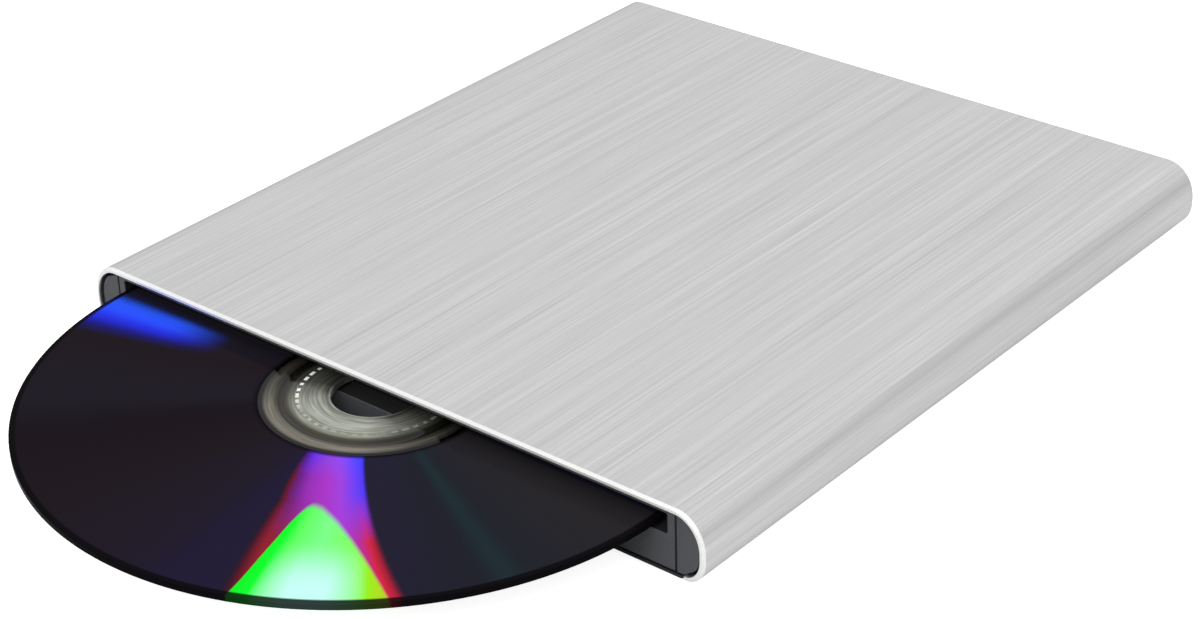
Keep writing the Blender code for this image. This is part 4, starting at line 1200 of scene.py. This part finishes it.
@dataclass
class Studio:
    """Pale light table, soft lights and the camera."""

    floor_half: float = 3.0
    floor_drop: float = 0.01 * MM
    glow: float = 0.85
    sky: Stops = ((0.0, "#a8a8a8"), (0.16, "#cfcfcf"), (0.42, "#f4f4f4"))
    sky_strength: float = 0.92
    soft_boxes: tuple[SoftBox, ...] = (
        SoftBox("front_softbox", (0.35, -1.0, 1.0), (0.9, 0.6), 7.5),
        SoftBox("right_softbox", (1.1, -0.1, 0.8), (0.7, 0.7), 0.6))
    azimuth: float = math.radians(40.39)
    elevation: float = math.radians(29.28)
    roll: float = math.radians(-1.62)
    distance: float = 496.69 * MM
    # The camera looks at this X, and this far behind the sleeve's front plane.
    focus: Point = (0.43 * MM, 57.91 * MM)
    lens_mm: float = 82.59
    sensor_mm: float = 36.0
    nearest: float = 10.0 * MM

    def floor(self) -> None:
        """Lay a wide pale floor just under the feet.

        The table is lit from below as well, which only the view sees, so that shadows stay faint.
        """
        shape = bmesh.new()
        bmesh.ops.create_grid(shape, x_segments=2, y_segments=2, size=self.floor_half)
        bmesh.ops.translate(shape, vec=(0.0, 0.0, -self.floor_drop), verts=shape.verts)
        finish = Grained("pale_light_table", "#e2e2e2", "#e6e6e6", 0.9, grain_mm=8.0, bump_mm=0.001,
                         specular=0.0).build()
        tree = finish.node_tree
        path = add_node(tree, "ShaderNodeLightPath")
        glow = add_node(tree, "ShaderNodeMath", {0: path.outputs["Is Camera Ray"], 1: self.glow},
                        operation="MULTIPLY")
        set_inputs(tree, tree.nodes["Principled BSDF"], {
            "Emission Strength": glow.outputs[0], "Emission Color": linear("#ffffff")})
        mesh_object("studio_floor", shape, [finish])

    def lights(self) -> None:
        """Set an even pale world, white to the view, and the soft boxes."""
        scene = bpy.context.scene
        scene.view_settings.view_transform = "Standard"
        world = bpy.data.worlds.new("studio")
        scene.world = world
        world.use_nodes = True
        tree = world.node_tree
        place = add_node(tree, "ShaderNodeTexCoord")
        height = add_node(tree, "ShaderNodeSeparateXYZ", {"Vector": place.outputs["Generated"]})
        sky = set_stops(add_node(tree, "ShaderNodeValToRGB", {"Fac": height.outputs["Z"]}), self.sky)
        seen = add_node(tree, "ShaderNodeLightPath").outputs["Is Camera Ray"]
        color = layered(tree, sky, ((seen, linear("#ffffff")),))
        set_inputs(tree, tree.nodes["Background"], {"Color": color, "Strength": self.sky_strength})
        for box in self.soft_boxes:
            box.build()

    def camera(self, front: float, base: float) -> None:
        """Place the camera at the chosen angle.

        Args:
            front: Y of the sleeve's front plane.
            base: Z of the sleeve's lowest face.
        """
        az, el = self.azimuth, self.elevation
        back = Vector((math.sin(az) * math.cos(el), -math.cos(az) * math.cos(el), math.sin(el)))
        side = Vector((math.cos(az), math.sin(az), 0.0))
        up = back.cross(side)
        side_rolled = side * math.cos(self.roll) + up * math.sin(self.roll)
        up_rolled = up * math.cos(self.roll) - side * math.sin(self.roll)
        data = bpy.data.cameras.new("view")
        data.lens = self.lens_mm
        data.sensor_width = self.sensor_mm
        data.sensor_fit = "HORIZONTAL"
        data.clip_start = self.nearest
        eye = bpy.data.objects.new("view", data)
        bpy.context.scene.collection.objects.link(eye)
        turn = Matrix((side_rolled, up_rolled, back)).transposed().to_4x4()
        place = Vector((self.focus[0], self.focus[1] + front, base)) + back * self.distance
        eye.matrix_world = Matrix.Translation(place) @ turn
        bpy.context.scene.camera = eye


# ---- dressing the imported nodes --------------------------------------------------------


def slot_finishes() -> dict[str, Grained]:
    """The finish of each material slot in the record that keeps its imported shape.

    The numbers are roughness, metallic, grain and bump in mm, and the grain's stretch.

    Returns:
        Slot name to finish.
    """
    return {
        # Powder coat on pressed steel: matt black with a fine orange peel.
        "black_coated_steel": Grained("black_powder_coat", "#1b1b1d", "#242427", 0.55, 0.1, 0.5, 0.02),
        # Moulded rubber: very matt and even.
        "black_rubber": Grained("moulded_rubber", "#141415", "#1c1c1d", 0.85, 0.0, 0.4, 0.02),
        # Pressed felt: a soft black that swallows light.
        "black_felt": Grained("pressed_felt", "#060607", "#0f0f11", 0.98, 0.0, 0.18, 0.08),
        # Moulded ABS, spark-eroded in the tool: satin grey with a very fine grain.
        "dark_grey_plastic": Grained("moulded_abs", "#414346", "#4e5054", 0.46, 0.0, 0.28, 0.012),
        # Zinc plating on cold-rolled sheet: cool grey with faint clouding.
        "zinc_plated_sheet": Grained("zinc_plated_steel", "#b4b7ba", "#cfd2d4", 0.36, 1.0, 2.5, 0.006),
        # Ground rod and screw steel: bright, with fine lines along the depth.
        "bright_steel": Grained("ground_steel", "#c6c8ca", "#e0e2e3", 0.22, 1.0, 0.2, 0.004,
                                (1.0, 0.06, 1.0)),
        # Glass-filled nylon: dull black, slightly uneven.
        "black_plastic": Grained("black_nylon", "#17171a", "#222226", 0.5, 0.0, 0.3, 0.012),
        # Uncoloured acetal: a waxy off-white.
        "pale_acetal": Grained("natural_acetal", "#d9d6cb", "#e6e3d8", 0.4, 0.0, 0.8, 0.006),
        # Solder mask over a board: glossy green with slight changes of tone.
        "green_board": Grained("solder_mask_green", "#12502c", "#1d6b3c", 0.35, 0.0, 0.6, 0.02),
        # Enamelled copper wire: warm and glossy, with tones as fine as its turns.
        "copper_winding": Grained("enamelled_copper_wire", "#9a4a1e", "#cf7a3a", 0.32, 1.0, 0.16, 0.03),
        # Coated lens glass: a smooth blue to violet bloom.
        "lens_glass": Grained("coated_lens_glass", "#5460a8", "#6d7bd0", 0.06, 0.0, 3.0, 0.0005),
    }


def dress_nodes(frame: dict[str, Any], finishes: dict[str, Material]) -> None:
    """Give every carried-over CAD node its finish.

    Args:
        finishes: Slot name to built material.
    """
    slots = {entry["node"]: entry["material_slot"] for entry in frame["record"]["subparts"]}
    for name, node in frame["nodes"].items():
        finish = finishes.get(slots[name])
        if finish:
            node.data.materials.clear()
            node.data.materials.append(finish)
            LOG.info("dressed %s with %s", name, finish.name)


def join_body(piece: Piece, body: str, nodes: Sequence[str]) -> None:
    """Tell the frame what a finished piece rides on and stands for.

    Args:
        piece: The finished piece.
        body: The CAD body that carries it.
        nodes: CAD nodes that it replaces.
    """
    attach(piece, body)
    if nodes:
        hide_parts(*nodes)
    LOG.info("built %s, %d faces, on %s", piece.name, len(piece.data.polygons), body)


def main() -> None:
    """Build every piece in order, then the studio."""
    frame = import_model()
    measures = Measures.from_frame()
    finishes = {slot: finish.build() for slot, finish in slot_finishes().items()}
    dress_nodes(frame, finishes)

    join_body(Sleeve(measures).build(), "enclosure", ["outer_shell"])
    # The felt's black also paints shade on the bezel's slot walls.
    bezel = Bezel(measures, finishes["dark_grey_plastic"], finishes["black_felt"]).build()
    for piece, node in zip(bezel, ("bezel", "bezel_end_left", "bezel_end_right")):
        join_body(piece, "enclosure", [node])
    join_body(Disc(measures).build(), "disc", ["disc"])
    join_body(HubTicks(measures, MouldedMark().build()).build(), "disc", [])
    screws = CoverScrews(finishes["bright_steel"])
    join_body(screws.build(), "enclosure", screws.names)

    studio = Studio()
    studio.floor()
    studio.lights()
    studio.camera(measures.shell_low.y, measures.shell_low.z)


if __name__ == "__main__":
    logging.basicConfig(level=logging.INFO, format="%(name)s: %(message)s")
    main()
